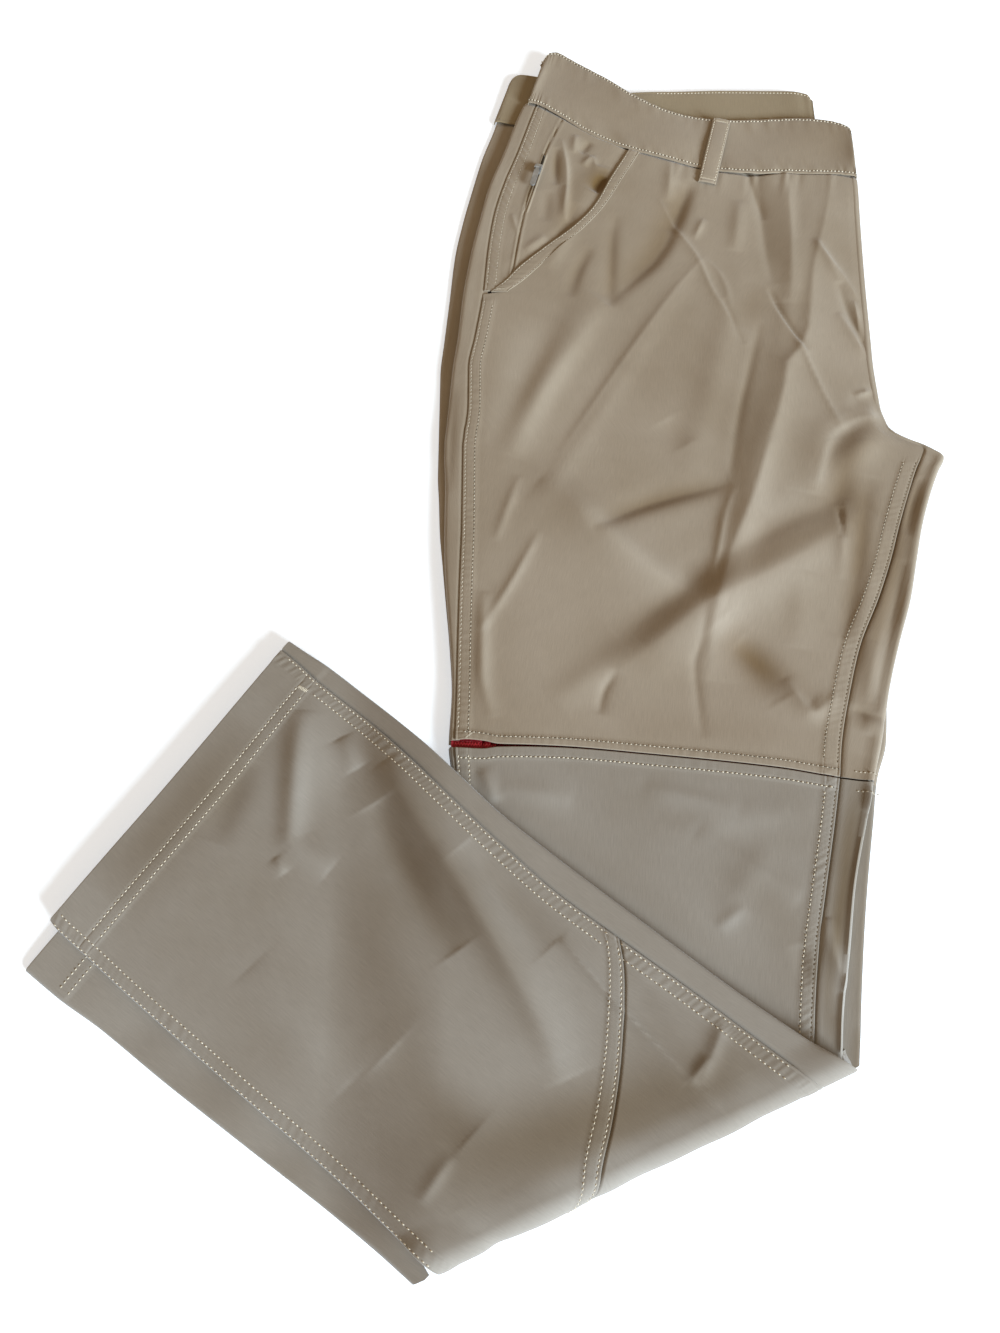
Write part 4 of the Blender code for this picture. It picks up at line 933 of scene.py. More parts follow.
def over_grid(low, high, start, end, columns, rows):
    """The same for a folded leg, in its own s and t."""
    t = between(low(100.0), high(100.0), columns)
    for _ in range(6):
        t = between(low(start(t)), high(start(t)), columns)
    s_from = start(t)
    t_end = t.copy()
    for _ in range(30):
        s_to = end(t_end)
        t_end = 0.5 * t_end + 0.5 * between(low(s_to), high(s_to), columns)
    s = between(s_from, end(t_end), down(rows))
    return s, between(low(s), high(s), columns)


def line_places(count):
    """A single line with nothing near its ends, for panels that are built line by line."""
    return marks([0.0], count, [0.0])


def knee_line(side, offset=0.0):
    """One side of the zip's opening across the knee: side is 1 above it and -1 below it."""
    return lambda x: knee("y", x) + side * (0.5 * knee("opening", x) + offset)


def fold_line(inset):
    """Line across the upper legs that lies a distance inside the fold: where s less its slant
    times t is constant, put back in terms of x and y."""

    def line(x):
        px = OVER_AXIS[0] - FOLD_SLANT * OVER_ACROSS[0]
        py = OVER_AXIS[1] - FOLD_SLANT * OVER_ACROSS[1]
        return OVER_ORIGIN[1] + (FOLD_AT - inset / FOLD_COS - (x - OVER_ORIGIN[0]) * px) / py

    return line


def top_surface(x, y):
    """Outer side of the top leg without its folds."""
    depth = np.minimum(x - upper("top_left", y), upper("top_right", y) - x)
    return TOP_LEG["base"] + crown(depth, TOP_LEG)


def under_band_dip(x, y):
    """How far a panel dips where it runs in under the waistband: a soft step at the band's seam."""
    from_seam = waist("seam_y", np.clip(x, 0.0, 230.0)) - y
    return 1.2 * (1.0 - smooth((from_seam + 0.3) / 1.5))


waist_line = lambda x: waist("seam_y", x) + 2.2
outseam_line = lambda y: upper("outseam", y)
back_seam = lambda y: np.minimum(upper("front_right", y), upper("top_right", y) - 4.0)


def inseam_line(y):
    """Right edge of the right front: its inseam, and above the crotch nearly the folded edge."""
    seam = upper("front_right", y)
    return seam + smooth((y - 66.0) / 12.0) * (upper("top_right", y) + 0.2 - seam)


# %% [markdown]
# The seams are sewn with a thick thread, one stitch every two and a half millimetres or so. Each
# is a short bead that follows the cloth under it and dives into it at both ends: three rings
# between two poles, only 36 triangles, because there are thousands. Between two stitches the thread
# pulls the cloth in, and a still shorter dark bead stands for that shaded dent.

# %% Stitches
RING_SHARES = np.array([0.0, 0.16, 0.5, 0.84, 1.0])
RING_WIDTHS = np.array([0.0, 0.75, 1.0, 0.75, 0.0])
RING_LIFTS = np.array([-0.6, 0.3, 0.6, 0.3, -0.6])
BEAD_SIDES = 6


def bead_faces():
    """Triangles of one bead: a fan at each pole and two bands between the three rings."""
    k = np.arange(BEAD_SIDES)
    after = (k + 1) % BEAD_SIDES
    ring = lambda n: 1 + n * BEAD_SIDES
    pole = 1 + 3 * BEAD_SIDES
    bands = [stack(np.zeros_like(k), ring(0) + k, ring(0) + after)]
    for n in (0, 1):
        bands.append(stack(ring(n) + k, ring(n + 1) + k, ring(n + 1) + after))
        bands.append(stack(ring(n) + k, ring(n + 1) + after, ring(n) + after))
    bands.append(stack(ring(2) + k, np.full_like(k, pole), ring(2) + after))
    return np.concatenate(bands)


def beads(starts, ends, place, radius):
    """Points and triangles of beads between pairs of places on a surface. Each ring is a circle
    about the bead's line, in the plane of the surface's normal and the line across the bead."""
    share = RING_SHARES[None, :]
    a = starts[:, :1] * (1.0 - share) + ends[:, :1] * share
    b = starts[:, 1:] * (1.0 - share) + ends[:, 1:] * share
    centre = place(a, b)
    step = 0.05
    across = place(a + step, b) - place(a - step, b)
    along = place(a, b + step) - place(a, b - step)
    up = np.cross(across, along)
    up = up / np.linalg.norm(up, axis=-1, keepdims=True)
    run = centre[:, -1:] - centre[:, :1]
    run = run / np.maximum(np.linalg.norm(run, axis=-1, keepdims=True), 1e-9)
    side = np.cross(run, up)
    side = side / np.linalg.norm(side, axis=-1, keepdims=True)
    centre = centre + up * (RING_LIFTS * radius)[None, :, None]
    angle = 2.0 * np.pi * np.arange(BEAD_SIDES) / BEAD_SIDES
    around = side[:, :, None] * np.cos(angle)[:, None] + up[:, :, None] * np.sin(angle)[:, None]
    rings = centre[:, :, None] + around * (RING_WIDTHS * radius)[None, :, None, None]
    middle = rings[:, 1:4].reshape(len(starts), -1, 3)
    points = np.concatenate([centre[:, :1], middle, centre[:, -1:]], axis=1)
    count = points.shape[1]
    faces = bead_faces()[None] + (np.arange(len(starts)) * count)[:, None, None]
    return points.reshape(-1, 3), faces.reshape(-1, 3)


def stitches(path, place, pitch=2.7, length=1.6, radius=0.3, shift=0.0):
    """Beads at equal steps along a path of points on a surface: the length walked along the path
    in space says where each stitch starts and ends. A shift of half a step sets them in the gaps."""
    p = np.asarray(path, float)
    points = place(p[:, 0], p[:, 1])
    walked = np.concatenate([[0.0], np.cumsum(np.linalg.norm(np.diff(points, axis=0), axis=-1))])
    count = int(walked[-1] / pitch)
    jitter = 0.12 * np.sin(np.arange(count) * 2.4) + 0.08 * np.sin(np.arange(count) * 5.1)
    middle = (np.arange(count) + 0.5 + shift) * pitch + jitter
    where = lambda at: np.stack([np.interp(at, walked, p[:, k]) for k in range(2)], axis=-1)
    return beads(where(middle - 0.5 * length), where(middle + 0.5 * length), place, radius)


def dents(path, place, pitch=2.7, radius=0.24):
    """Short dark beads of painted shade in the gaps of a row of stitches, where its thread pulls the
    cloth into a dent.
    """
    return stitches(path, place, pitch, 0.38 * pitch, radius, 0.5)


def bartack(start, end, place, width=1.6, pitch=0.42, radius=0.16):
    """Dense short stitches across a line, which hold the end of a seam or a loop."""
    a = np.asarray(start, float)
    b = np.asarray(end, float)
    length = float(np.hypot(*(b - a)))
    share = np.linspace(0.0, 1.0, max(int(length / pitch), 3))[:, None]
    middle = a * (1.0 - share) + b * share
    across = np.array([[-(b - a)[1], (b - a)[0]]]) / length * 0.5 * width
    lean = (b - a)[None, :] / length * 0.2 * (-1.0) ** np.arange(len(share))[:, None]
    return beads(middle - across - lean, middle + across + lean, place, radius)


def sew(name, parts, finish):
    """Puts all stitches of a seam into one piece that rides on the trousers."""
    points = []
    faces = []
    count = 0
    for part_points, part_faces in parts:
        points.append(part_points)
        faces.append(part_faces + count)
        count += len(part_points)
    made = add_mesh(name, np.concatenate(points), np.concatenate(faces), finish)
    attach(made, "trousers")
    print(name, len(made.data.polygons), "triangles")
    return made


def down_line(line, inside, top, bottom, step=1.0):
    """Path down the cloth at a distance to the right of a side line, or to its left if negative."""
    y = np.arange(top, bottom, -step)
    return stack(line(y) + inside, y)


# %% [markdown]
# The cloth is a fine plain weave of a matt synthetic yarn. Its material has three scales. The
# weave is a bump of warp and weft bands on the UV map, half a millimetre apart. Uneven yarns make
# faint long streaks, in colour and in bump. Large soft patches, on object coordinates, vary the
# colour and the roughness as handling does. Sheen gives the pale bloom where light grazes it. An
# attribute of painted shading on each panel's points adds painted shade, deeper and warmer, in
# its troughs, and painted highlight, paler and bluer, on its ridges.

# %% Node helpers
def node(tree, kind, sockets=None, **values):
    """New node with some of its inputs or properties set. Inputs whose names have spaces, or that
    are known by number, come in a dictionary."""
    made = tree.nodes.new(kind)
    for key, value in (sockets or {}).items():
        made.inputs[key].default_value = value
    for key, value in values.items():
        if key in made.inputs:
            made.inputs[key].default_value = value
        else:
            setattr(made, key, value)
    return made


def join(tree, pairs):
    """Links sockets, each pair given as (node, output, node, input)."""
    for source, output, target, entry in pairs:
        tree.links.new(source.outputs[output], target.inputs[entry])


def new_finish(name, colour, roughness, **more):
    """Principled material, its tree and its shader. An underscore in a name stands for a space."""
    made = bpy.data.materials.new(name)
    made.use_nodes = True
    shader = made.node_tree.nodes["Principled BSDF"]
    shader.inputs["Base Color"].default_value = (*colour, 1.0)
    shader.inputs["Roughness"].default_value = roughness
    for key, value in more.items():
        shader.inputs[key.replace("_", " ")].default_value = value
    return made, made.node_tree, shader


def ramp(tree, deep, pale, low, high, middle=None):
    """Colour ramp from a deep colour to a pale one, through one halfway if it is given."""
    made = node(tree, "ShaderNodeValToRGB")
    for stop, place, tint in zip(made.color_ramp.elements, (low, high), (deep, pale)):
        stop.position = place
        stop.color = (*tint, 1.0)
    if middle is not None:
        made.color_ramp.elements.new(0.5).color = (*middle, 1.0)
    return made


def spread(tree, to_low, to_high, low=0.0, high=1.0):
    """Map Range node: a value from low to high becomes one from the first number to the second."""
    values = {"From Min": low, "From Max": high, "To Min": to_low, "To Max": to_high}
    return node(tree, "ShaderNodeMapRange", values)


# %% Woven cloth
WEAVE_PITCH = 0.5  # millimetres between yarns
PAINTED_SHADING_DEPTH = (0.52, 0.64, 0.80)  # share of red, green and blue that full painted shade takes, or full painted highlight adds
WAIST_WARMTH = (0.0, -0.015, -0.06)  # change of colour towards the waist: browner there than at the knee
WAVE_PER_UNIT = 20.0 / (2.0 * math.pi)  # bands in one unit of a wave texture of scale 1


def woven(name, colour, pale, deep, roughness=0.72, sheen=0.3, weave=0.35):
    """Woven cloth: bands of warp and weft as a bump, streaky yarns, soft patches of colour, the
    painted shading of the points' attribute, and a colour gradient towards the waist.
    """
    bloom = {"Sheen_Weight": sheen, "Sheen_Roughness": 0.45, "Sheen_Tint": (0.93, 0.96, 1.0, 1.0)}
    made, tree, shader = new_finish(name, colour, roughness, Specular_IOR_Level=0.3, **bloom)
    threads = node(tree, "ShaderNodeUVMap", uv_map="threads")
    scale = 1.0 / (WEAVE_PITCH * WAVE_PER_UNIT)
    warp = node(tree, "ShaderNodeTexWave", bands_direction="X", Scale=scale, Distortion=0.0)
    weft = node(tree, "ShaderNodeTexWave", bands_direction="Y", Scale=scale, Distortion=0.0)
    cross = node(tree, "ShaderNodeMath", operation="MULTIPLY")
    join(tree, [(threads, "UV", warp, "Vector"), (threads, "UV", weft, "Vector")])
    join(tree, [(warp, "Fac", cross, 0), (weft, "Fac", cross, 1)])

    along = node(tree, "ShaderNodeMapping", Scale=(1.9, 0.11, 1.0))
    streaks = node(tree, "ShaderNodeTexNoise", Scale=1.0, Detail=3.0, Roughness=0.6)
    join(tree, [(threads, "UV", along, "Vector"), (along, "Vector", streaks, "Vector")])
    fine = node(tree, "ShaderNodeTexNoise", Scale=1.4, Detail=2.0, Roughness=0.6)
    join(tree, [(threads, "UV", fine, "Vector")])

    place = node(tree, "ShaderNodeTexCoord")
    patches = node(tree, "ShaderNodeTexNoise", Scale=11.0, Detail=4.0, Roughness=0.55)
    join(tree, [(place, "Object", patches, "Vector")])
    tint = ramp(tree, deep, pale, 0.32, 0.7, middle=colour)
    join(tree, [(patches, "Fac", tint, "Fac")])

    yarn = spread(tree, 0.93, 1.06, 0.3, 0.7)
    join(tree, [(streaks, "Fac", yarn, "Value")])
    shade = spread(tree, 0.955, 1.03)
    join(tree, [(cross, 0, shade, "Value")])
    both = node(tree, "ShaderNodeMath", operation="MULTIPLY")
    join(tree, [(yarn, "Result", both, 0), (shade, "Result", both, 1)])
    dyed = node(tree, "ShaderNodeVectorMath", operation="SCALE")
    join(tree, [(tint, "Color", dyed, 0), (both, 0, dyed, "Scale")])
    # Painted shading: the points' attribute darkens and warms the colour in painted shade, and pales
    # and cools it in painted highlight.
    tone = node(tree, "ShaderNodeAttribute", attribute_name="tone")
    painted_light_tint = node(tree, "ShaderNodeVectorMath", {0: PAINTED_SHADING_DEPTH}, operation="SCALE")
    join(tree, [(tone, "Fac", painted_light_tint, "Scale")])
    sides = node(tree, "ShaderNodeSeparateXYZ")
    up_leg = spread(tree, 0.0, 1.0, -0.12, 0.3)
    join(tree, [(place, "Object", sides, "Vector"), (sides, "Y", up_leg, "Value")])
    colour_drift = node(tree, "ShaderNodeVectorMath", {0: WAIST_WARMTH}, operation="SCALE")
    join(tree, [(up_leg, "Result", colour_drift, "Scale")])
    changes = node(tree, "ShaderNodeVectorMath", operation="ADD")
    join(tree, [(painted_light_tint, "Vector", changes, 0), (colour_drift, "Vector", changes, 1)])
    share = node(tree, "ShaderNodeVectorMath", {1: (1.0, 1.0, 1.0)}, operation="ADD")
    colour_with_painted_shading = node(tree, "ShaderNodeVectorMath", operation="MULTIPLY")
    join(tree, [(changes, "Vector", share, 0), (share, "Vector", colour_with_painted_shading, 0), (dyed, "Vector", colour_with_painted_shading, 1)])
    join(tree, [(colour_with_painted_shading, "Vector", shader, "Base Color")])

    gloss = spread(tree, roughness - 0.08, roughness + 0.1)
    join(tree, [(patches, "Fac", gloss, "Value"), (gloss, "Result", shader, "Roughness")])

    first = node(tree, "ShaderNodeBump", Strength=weave, Distance=0.00012)
    second = node(tree, "ShaderNodeBump", Strength=0.3, Distance=0.0002)
    third = node(tree, "ShaderNodeBump", Strength=0.22, Distance=0.0002)
    join(
        tree,
        [
            (cross, 0, first, "Height"),
            (streaks, "Fac", second, "Height"),
            (first, "Normal", second, "Normal"),
            (fine, "Fac", third, "Height"),
            (second, "Normal", third, "Normal"),
            (third, "Normal", shader, "Normal"),
        ],
    )
    return made


KHAKI = (0.288, 0.233, 0.172)
KHAKI_PALE = (0.316, 0.259, 0.197)
KHAKI_DEEP = (0.259, 0.204, 0.144)
# The lower legs take a greyer, cooler copy of the same khaki: painted cool light.
PAINTED_COOL_STONE = (0.250, 0.218, 0.180)
PAINTED_COOL_STONE_PALE = (0.274, 0.243, 0.205)
PAINTED_COOL_STONE_DEEP = (0.224, 0.190, 0.150)
# A darker, warmer copy of the khaki: painted shade, for the back band and the band underneath.
PAINTED_SHADE_OLIVE = (0.252, 0.195, 0.118)
PAINTED_SHADE_OLIVE_PALE = (0.276, 0.217, 0.137)
PAINTED_SHADE_OLIVE_DEEP = (0.222, 0.167, 0.095)
cloth = woven("khaki_cloth", KHAKI, KHAKI_PALE, KHAKI_DEEP)
lower_cloth_painted_cool_light = woven("khaki_cloth_lower_legs", PAINTED_COOL_STONE, PAINTED_COOL_STONE_PALE, PAINTED_COOL_STONE_DEEP)
cloth_painted_shade = woven("khaki_cloth_inside", PAINTED_SHADE_OLIVE, PAINTED_SHADE_OLIVE_PALE, PAINTED_SHADE_OLIVE_DEEP, roughness=0.8)


# %% Thread, zip and metal
def spun(name, colour, deep, roughness=0.55):
    """Thread: colour that varies along it, and fine ribs of twist as a bump."""
    made, tree, shader = new_finish(name, colour, roughness, Sheen_Weight=0.2)
    place = node(tree, "ShaderNodeTexCoord")
    twist = node(tree, "ShaderNodeTexWave", bands_direction="DIAGONAL", Scale=900.0, Distortion=1.0)
    colour_drift = node(tree, "ShaderNodeTexNoise", Scale=160.0, Detail=2.0)
    join(tree, [(place, "Object", twist, "Vector"), (place, "Object", colour_drift, "Vector")])
    tint = ramp(tree, deep, colour, 0.3, 0.65)
    join(tree, [(colour_drift, "Fac", tint, "Fac"), (tint, "Color", shader, "Base Color")])
    ribs = node(tree, "ShaderNodeBump", Strength=0.4, Distance=0.0001)
    join(tree, [(twist, "Fac", ribs, "Height"), (ribs, "Normal", shader, "Normal")])
    return made


def moulded(name, colour, deep, roughness, scale=700.0):
    """Moulded nylon of zip teeth: slight mottling, and a faint ripple in its gloss."""
    made, tree, shader = new_finish(name, colour, roughness, Specular_IOR_Level=0.5)
    place = node(tree, "ShaderNodeTexCoord")
    grain = node(tree, "ShaderNodeTexNoise", Scale=scale, Detail=3.0)
    join(tree, [(place, "Object", grain, "Vector")])
    tint = ramp(tree, deep, colour, 0.35, 0.62)
    join(tree, [(grain, "Fac", tint, "Fac"), (tint, "Color", shader, "Base Color")])
    ripple = node(tree, "ShaderNodeBump", Strength=0.2, Distance=0.00008)
    join(tree, [(grain, "Fac", ripple, "Height"), (ripple, "Normal", shader, "Normal")])
    return made


def brushed(name, colour, deep, roughness):
    """Plated metal: fine scratches along the piece, and duller patches where fingers rub it."""
    made, tree, shader = new_finish(name, colour, roughness, Metallic=0.55)
    place = node(tree, "ShaderNodeTexCoord")
    lean = (0.0, 0.0, math.radians(-20.0))
    turn = node(tree, "ShaderNodeMapping", Scale=(3600.0, 160.0, 400.0), Rotation=lean)
    scratches = node(tree, "ShaderNodeTexNoise", Scale=1.0, Detail=4.0, Roughness=0.7)
    join(tree, [(place, "Object", turn, "Vector"), (turn, "Vector", scratches, "Vector")])
    rubbed = node(tree, "ShaderNodeTexNoise", Scale=150.0, Detail=2.0)
    join(tree, [(place, "Object", rubbed, "Vector")])
    tint = ramp(tree, deep, colour, 0.3, 0.68)
    join(tree, [(rubbed, "Fac", tint, "Fac"), (tint, "Color", shader, "Base Color")])
    gloss = spread(tree, roughness - 0.1, roughness + 0.2)
    join(tree, [(rubbed, "Fac", gloss, "Value"), (gloss, "Result", shader, "Roughness")])
    lines = node(tree, "ShaderNodeBump", Strength=0.06, Distance=0.00002)
    join(tree, [(scratches, "Fac", lines, "Height"), (lines, "Normal", shader, "Normal")])
    return made


thread = spun("pale_thread", (0.720, 0.640, 0.500), (0.560, 0.480, 0.350))
thread_khaki = spun("khaki_thread", (0.520, 0.450, 0.345), (0.340, 0.285, 0.205))
# A dark brown thread for stitch rows beside the seams and under the top leg: painted shade.
thread_painted_shade = spun("brown_thread", (0.215, 0.165, 0.105), (0.120, 0.090, 0.055))
# Dark beads in the dents between stitches: painted shade.
dent_shade_finish = spun("shaded_thread", (0.110, 0.084, 0.052), (0.060, 0.045, 0.028), 0.8)
CRIMSON = (0.360, 0.012, 0.024)
zip_tape = woven("crimson_tape", CRIMSON, (0.430, 0.020, 0.034), (0.250, 0.006, 0.014), 0.6, 0.1, 0.6)
zip_teeth = moulded("crimson_teeth", (0.480, 0.016, 0.030), (0.300, 0.008, 0.016), 0.35)
coil_dark = moulded("olive_coil", (0.060, 0.050, 0.036), (0.030, 0.025, 0.018), 0.4)
metal = brushed("plated_metal", (0.400, 0.400, 0.390), (0.240, 0.240, 0.235), 0.3)
print(len(bpy.data.materials), "finishes so far")

# %% [markdown]
# The left leg lies underneath, and little of it shows: its left edge, and a corner of its band.
# Each of its two lengths is a closed tube pressed flat, because that is what a trouser leg is.
# The right leg lies on it, and its back panel wraps round both edges from seam to seam.

# %% Left leg, underneath
TUBE_EDGE = (0.0, 0.05, 0.2, 0.5, 1.0, 1.6, 2.4)


def flat_tube(over_count, under_count):
    """Places once round a pressed tube: over its top from left to right, then back under it."""
    over_places = marks(TUBE_EDGE, over_count, TUBE_EDGE)
    back = 1.0 - np.linspace(0.0, 1.0, under_count)[1:-1]
    under_places = (np.zeros_like(back), np.zeros_like(back), back)
    places = tuple(np.concatenate(pair) for pair in zip(over_places, under_places))
    return places, np.arange(len(places[0])) >= len(over_places[0])


def under_height(x, y):
    """Top of the left leg underneath: its thickness, with slow waves along its left edge."""
    left_gap = x - upper("under_left", y)
    depth = np.minimum(left_gap, upper("under_right", y) - x)
    slow = 0.35 * np.sin(y / 31.0 + 1.0) + 0.25 * np.sin(y / 13.0)
    dip = 1.2 * (1.0 - smooth((left_waist("seam_y", x) - y + 0.3) / 1.5))
    height = crown(depth, UNDER_LEG) + slow * smooth(left_gap / 3.0) * smooth((30.0 - left_gap) / 20.0)
    return np.maximum(height - dip, RIM)


def under_tube(top, bottom, guess, rows):
    """Grid of a length of the left leg."""
    columns, below = flat_tube(34, 14)
    left = lambda y: upper("under_left", y)
    right = lambda y: upper("under_right", y)
    x, y = upper_grid(left, right, top, bottom, columns, marks([0.0], rows, [0.0]), guess)
    z = np.where(below[None, :], 0.0, under_height(x, y))
    return stack(x, y, z)


UNDER_TURN = 10.25  # inset from the folded edge at which a leg ends inside the fold
SHARE_OF_Y = 1.087  # length along y for each millimetre square to the fold


def strip_end(inset):
    """Lower end of a leg at the fold: inside the turn where the folded legs cover it, and down to
    an inset from the folded edge along the strip that shows at the right."""
    inner = fold_line(UNDER_TURN)
    return lambda x: inner(x) - SHARE_OF_Y * (UNDER_TURN - inset) * smooth((x - 143.0) / 5.0)


left_seam = lambda x: left_waist("seam_y", x) + 3.0
grid = under_tube(left_seam, knee_line(1, -0.7), (300.0, -140.0), 150)
thigh_left = cloth_shell("thigh_left", grid, cloth, closed=True)
dress(thigh_left, "thigh_left_under", grid)
grid = under_tube(knee_line(-1, -0.4), strip_end(0.3), (-150.0, -330.0), 110)
# Painted shade on the left leg's strip, beside the top leg.
tone = crease_painted_shading(grid[:, :, 0], grid[:, :, 1], [], LEFT_PAINTED_SHADING)
calf_left = cloth_shell("calf_left", grid, lower_cloth_painted_cool_light, closed=True, tone=tone)
dress(calf_left, "calf_left_under", grid)

# %% Right leg: back panels
SEAM_DIP = 1.1
OUTSEAM_STITCHES = (1.5, 7.2)
INSEAM_STITCHES = (1.6, 9.6)
CALF_INSEAM_STITCHES = (1.6, 7.6)
strip_offsets = (-2.6, -1.2, -0.4, 0.0, 0.4, 0.9, 1.6)
strip_shares = (0.14, 0.3, 0.46, 0.6, 0.74, 0.85, 0.93, 0.97, 0.99, 1.0)


def clear_of_folded(x, y):
    """Soft step from 0 where the folded legs lie on top to 1 six millimetres beyond their edge."""
    s = (x - OVER_ORIGIN[0]) * OVER_AXIS[0] + (y - OVER_ORIGIN[1]) * OVER_AXIS[1]
    t = (x - OVER_ORIGIN[0]) * OVER_ACROSS[0] + (y - OVER_ORIGIN[1]) * OVER_ACROSS[1]
    return smooth((t - over("high", s)) / 6.0)


def back_height(x, y):
    """Back panel beside the front one: the leg's thickness, its creases and the roll of cloth that
    stands up along a folded edge, pulled down into both seams by a soft step."""
    past_front = x - back_seam(y)
    past_out = upper("outseam", y) - x
    covered = smooth((y - 62.0) / 8.0) * smooth((upper("top_right", y) - x) / 2.0)
    right_dip = np.maximum(smooth(1.0 - past_front / 1.8), covered) * (x > 60.0)
    dip = SEAM_DIP * (right_dip + 0.6 * smooth(1.0 - past_out / 1.8) * (x < 60.0))
    from_edge = upper("top_right", y) - x
    low = smooth((-150.0 - y) / 30.0)
    ridge = bell(from_edge - 3.4 + 1.6 * low, 2.8 - 1.2 * low)
    roll = 1.5 * ridge * (x > 60.0) * clear_of_folded(x, y)
    z = top_surface(x, y) + CREASE_GAIN * creases(x, y, BACK_CREASES)
    return z + roll - dip - under_band_dip(x, y)


def back_wrap(top, bottom, guess, rows):
    """Grid of a back panel of the right leg: from the inseam to the right edge, round it, flat
    underneath to the left edge, round that and up to the outseam."""
    seam = outseam_line
    left = lambda y: upper("top_left", y)
    front = back_seam
    right = lambda y: upper("top_right", y)
    reach = strip_offsets[-1]
    lines = [lambda y, d=d: front(y) + d for d in strip_offsets]
    lines += [lambda y, f=f: (front(y) + reach) * (1 - f) + right(y) * f for f in strip_shares]
    below = len(lines)
    lines += [lambda y, f=f: right(y) * (1 - f) + left(y) * f for f in np.linspace(0, 1, 14)]
    above = len(lines)
    lines += [lambda y, f=f: (seam(y) - reach) * (1 - f) + left(y) * f for f in strip_shares[::-1]]
    lines += [lambda y, d=d: seam(y) - d for d in strip_offsets[::-1]]
    single = marks([0.0], 1, [0.0])
    share = np.linspace(0.0, 1.0, rows)
    xs = []
    ys = []
    for line in lines:
        y_top = meet(top, line, line, single, guess[0])[0]
        y_bottom = meet(bottom, line, line, single, guess[1])[0]
        y = y_top * (1.0 - share) + y_bottom * share
        xs.append(line(y))
        ys.append(y)
    x = np.stack(xs, axis=1)
    y = np.stack(ys, axis=1)
    z = back_height(x, y)
    # Painted shading: painted shade along the back strips, painted highlight on their rims.
    tone = crease_painted_shading(x, y, BACK_CREASES, BACK_PAINTED_SHADING)
    z[:, below:above] = TOP_LEG["base"]
    tone[:, below:above] = 0.0
    return stack(x, y, z), tone


grid, tone = back_wrap(waist_line, knee_line(1, 0.2), (300.0, -140.0), 330)
thigh_back = cloth_shell("thigh_back", grid, cloth, tone=tone)
dress(thigh_back, "thigh_back_right", grid)
grid, tone = back_wrap(knee_line(-1, 0.2), strip_end(1.6), (-150.0, -330.0), 190)
calf_back = cloth_shell("calf_back", grid, lower_cloth_painted_cool_light, tone=tone)
dress(calf_back, "calf_back_right", grid)

# %% [markdown]
# The front panel of the thigh carries most of what the eye finds: the long pressed creases, the
# soft folds that run from the crotch, and three sewn borders. Its height is one function of the
# plan, so that stitches can be set on it anywhere.

# %% Right leg: front panels
KNEE_STITCH = 4.3
LOW_KNEE_STITCH = 6.0


def flap_relief(inside, along, line, lift=0.4, ripple=0.14, pitch=5.2):
    """Height added beside a turned and stitched edge: the turning as far as its stitch line, the
    rolled edge, the stitch's groove, and slight ripples."""
    turning = lift * (1.0 - smooth((inside - line - 0.3) / 1.4))
    groove = -0.2 * bell(inside - line, 0.5)
    window = np.sin(np.pi * np.clip(inside / (line + 1.0), 0.0, 1.0)) ** 0.7
    return turning + groove + edge_roll(inside, 0.55) + ripple * window * wave(along, pitch)


def left_line(y, lower):
    """Left edge of the right front: the pocket's stitch line, mixed into the outseam by a share."""
    along_pocket = pocket("stitch_x", np.maximum(y, POCKET_LINES[0][0])) + 0.1
    return along_pocket * (1.0 - lower) + upper("outseam", y) * lower


# The edge itself turns sharply at the pocket's corner, and the easy line does so over 60 mm.
front_left_line = lambda y: left_line(y, np.clip((POCKET_END - y) / 1.6, 0.0, 1.0))
easy_left_line = lambda y: left_line(y, smooth((214.0 - y) / 60.0))


def thigh_height(x, y):
    """Outer side of the right front: the leg, its folds and creases, the outseam, the inseam below
    the crotch, the flap at the knee, and small gathers under the waistband."""
    from_out = x - upper("outseam", y)
    from_in = upper("front_right", y) - x
    from_knee = y - knee("y", x) - 0.5 * knee("opening", x)
    from_waist = waist("seam_y", np.clip(x, 0.0, 230.0)) - y
    calm = smooth(np.minimum(from_out, from_in) / 9.0) * smooth(from_knee / 8.0)
    z = top_surface(x, y) + folds(x, y, THIGH_FOLDS) * (0.35 + 0.65 * smooth(from_in / 12.0))
    z = z + CREASE_GAIN * creases(x, y, THIGH_CREASES) * calm
    below_pocket = smooth((POCKET_END - 3.0 - y) / 6.0)
    z = z + below_pocket * seam_relief(from_out, y, OUTSEAM_STITCHES, ripple=0.12, pitch=5.2)
    below_crotch = smooth((46.0 - y) / 8.0)
    z = z + below_crotch * seam_relief(from_in, y, INSEAM_STITCHES, ripple=0.13, pitch=4.3, slant=0.3)
    z = z + flap_relief(from_knee, x, KNEE_STITCH)
    gathers = 0.3 * wave(x + 0.2 * from_waist, 12.5) * smooth(from_waist / 2.5)
    return z + gathers * (1.0 - smooth(from_waist / 26.0)) - under_band_dip(x, y)


columns = marks(stitch_marks(OUTSEAM_STITCHES), 150, stitch_marks(INSEAM_STITCHES))
rows = marks([0.0, 0.4, 1.0], 370, stitch_marks((KNEE_STITCH,)))
thigh_ends = (inseam_line, waist_line, knee_line(1), columns, rows, (290.0, -140.0))
x, y = upper_grid(front_left_line, *thigh_ends)
easy_x = upper_grid(easy_left_line, *thigh_ends)[0]
x = x + (easy_x - x) * smooth((x - front_left_line(y)) / 60.0)
tables = (THIGH_CREASES, THIGH_PAINTED_SHADING)
relief_panel("thigh_front", "thigh_front_right", x, y, thigh_height, cloth, tables)


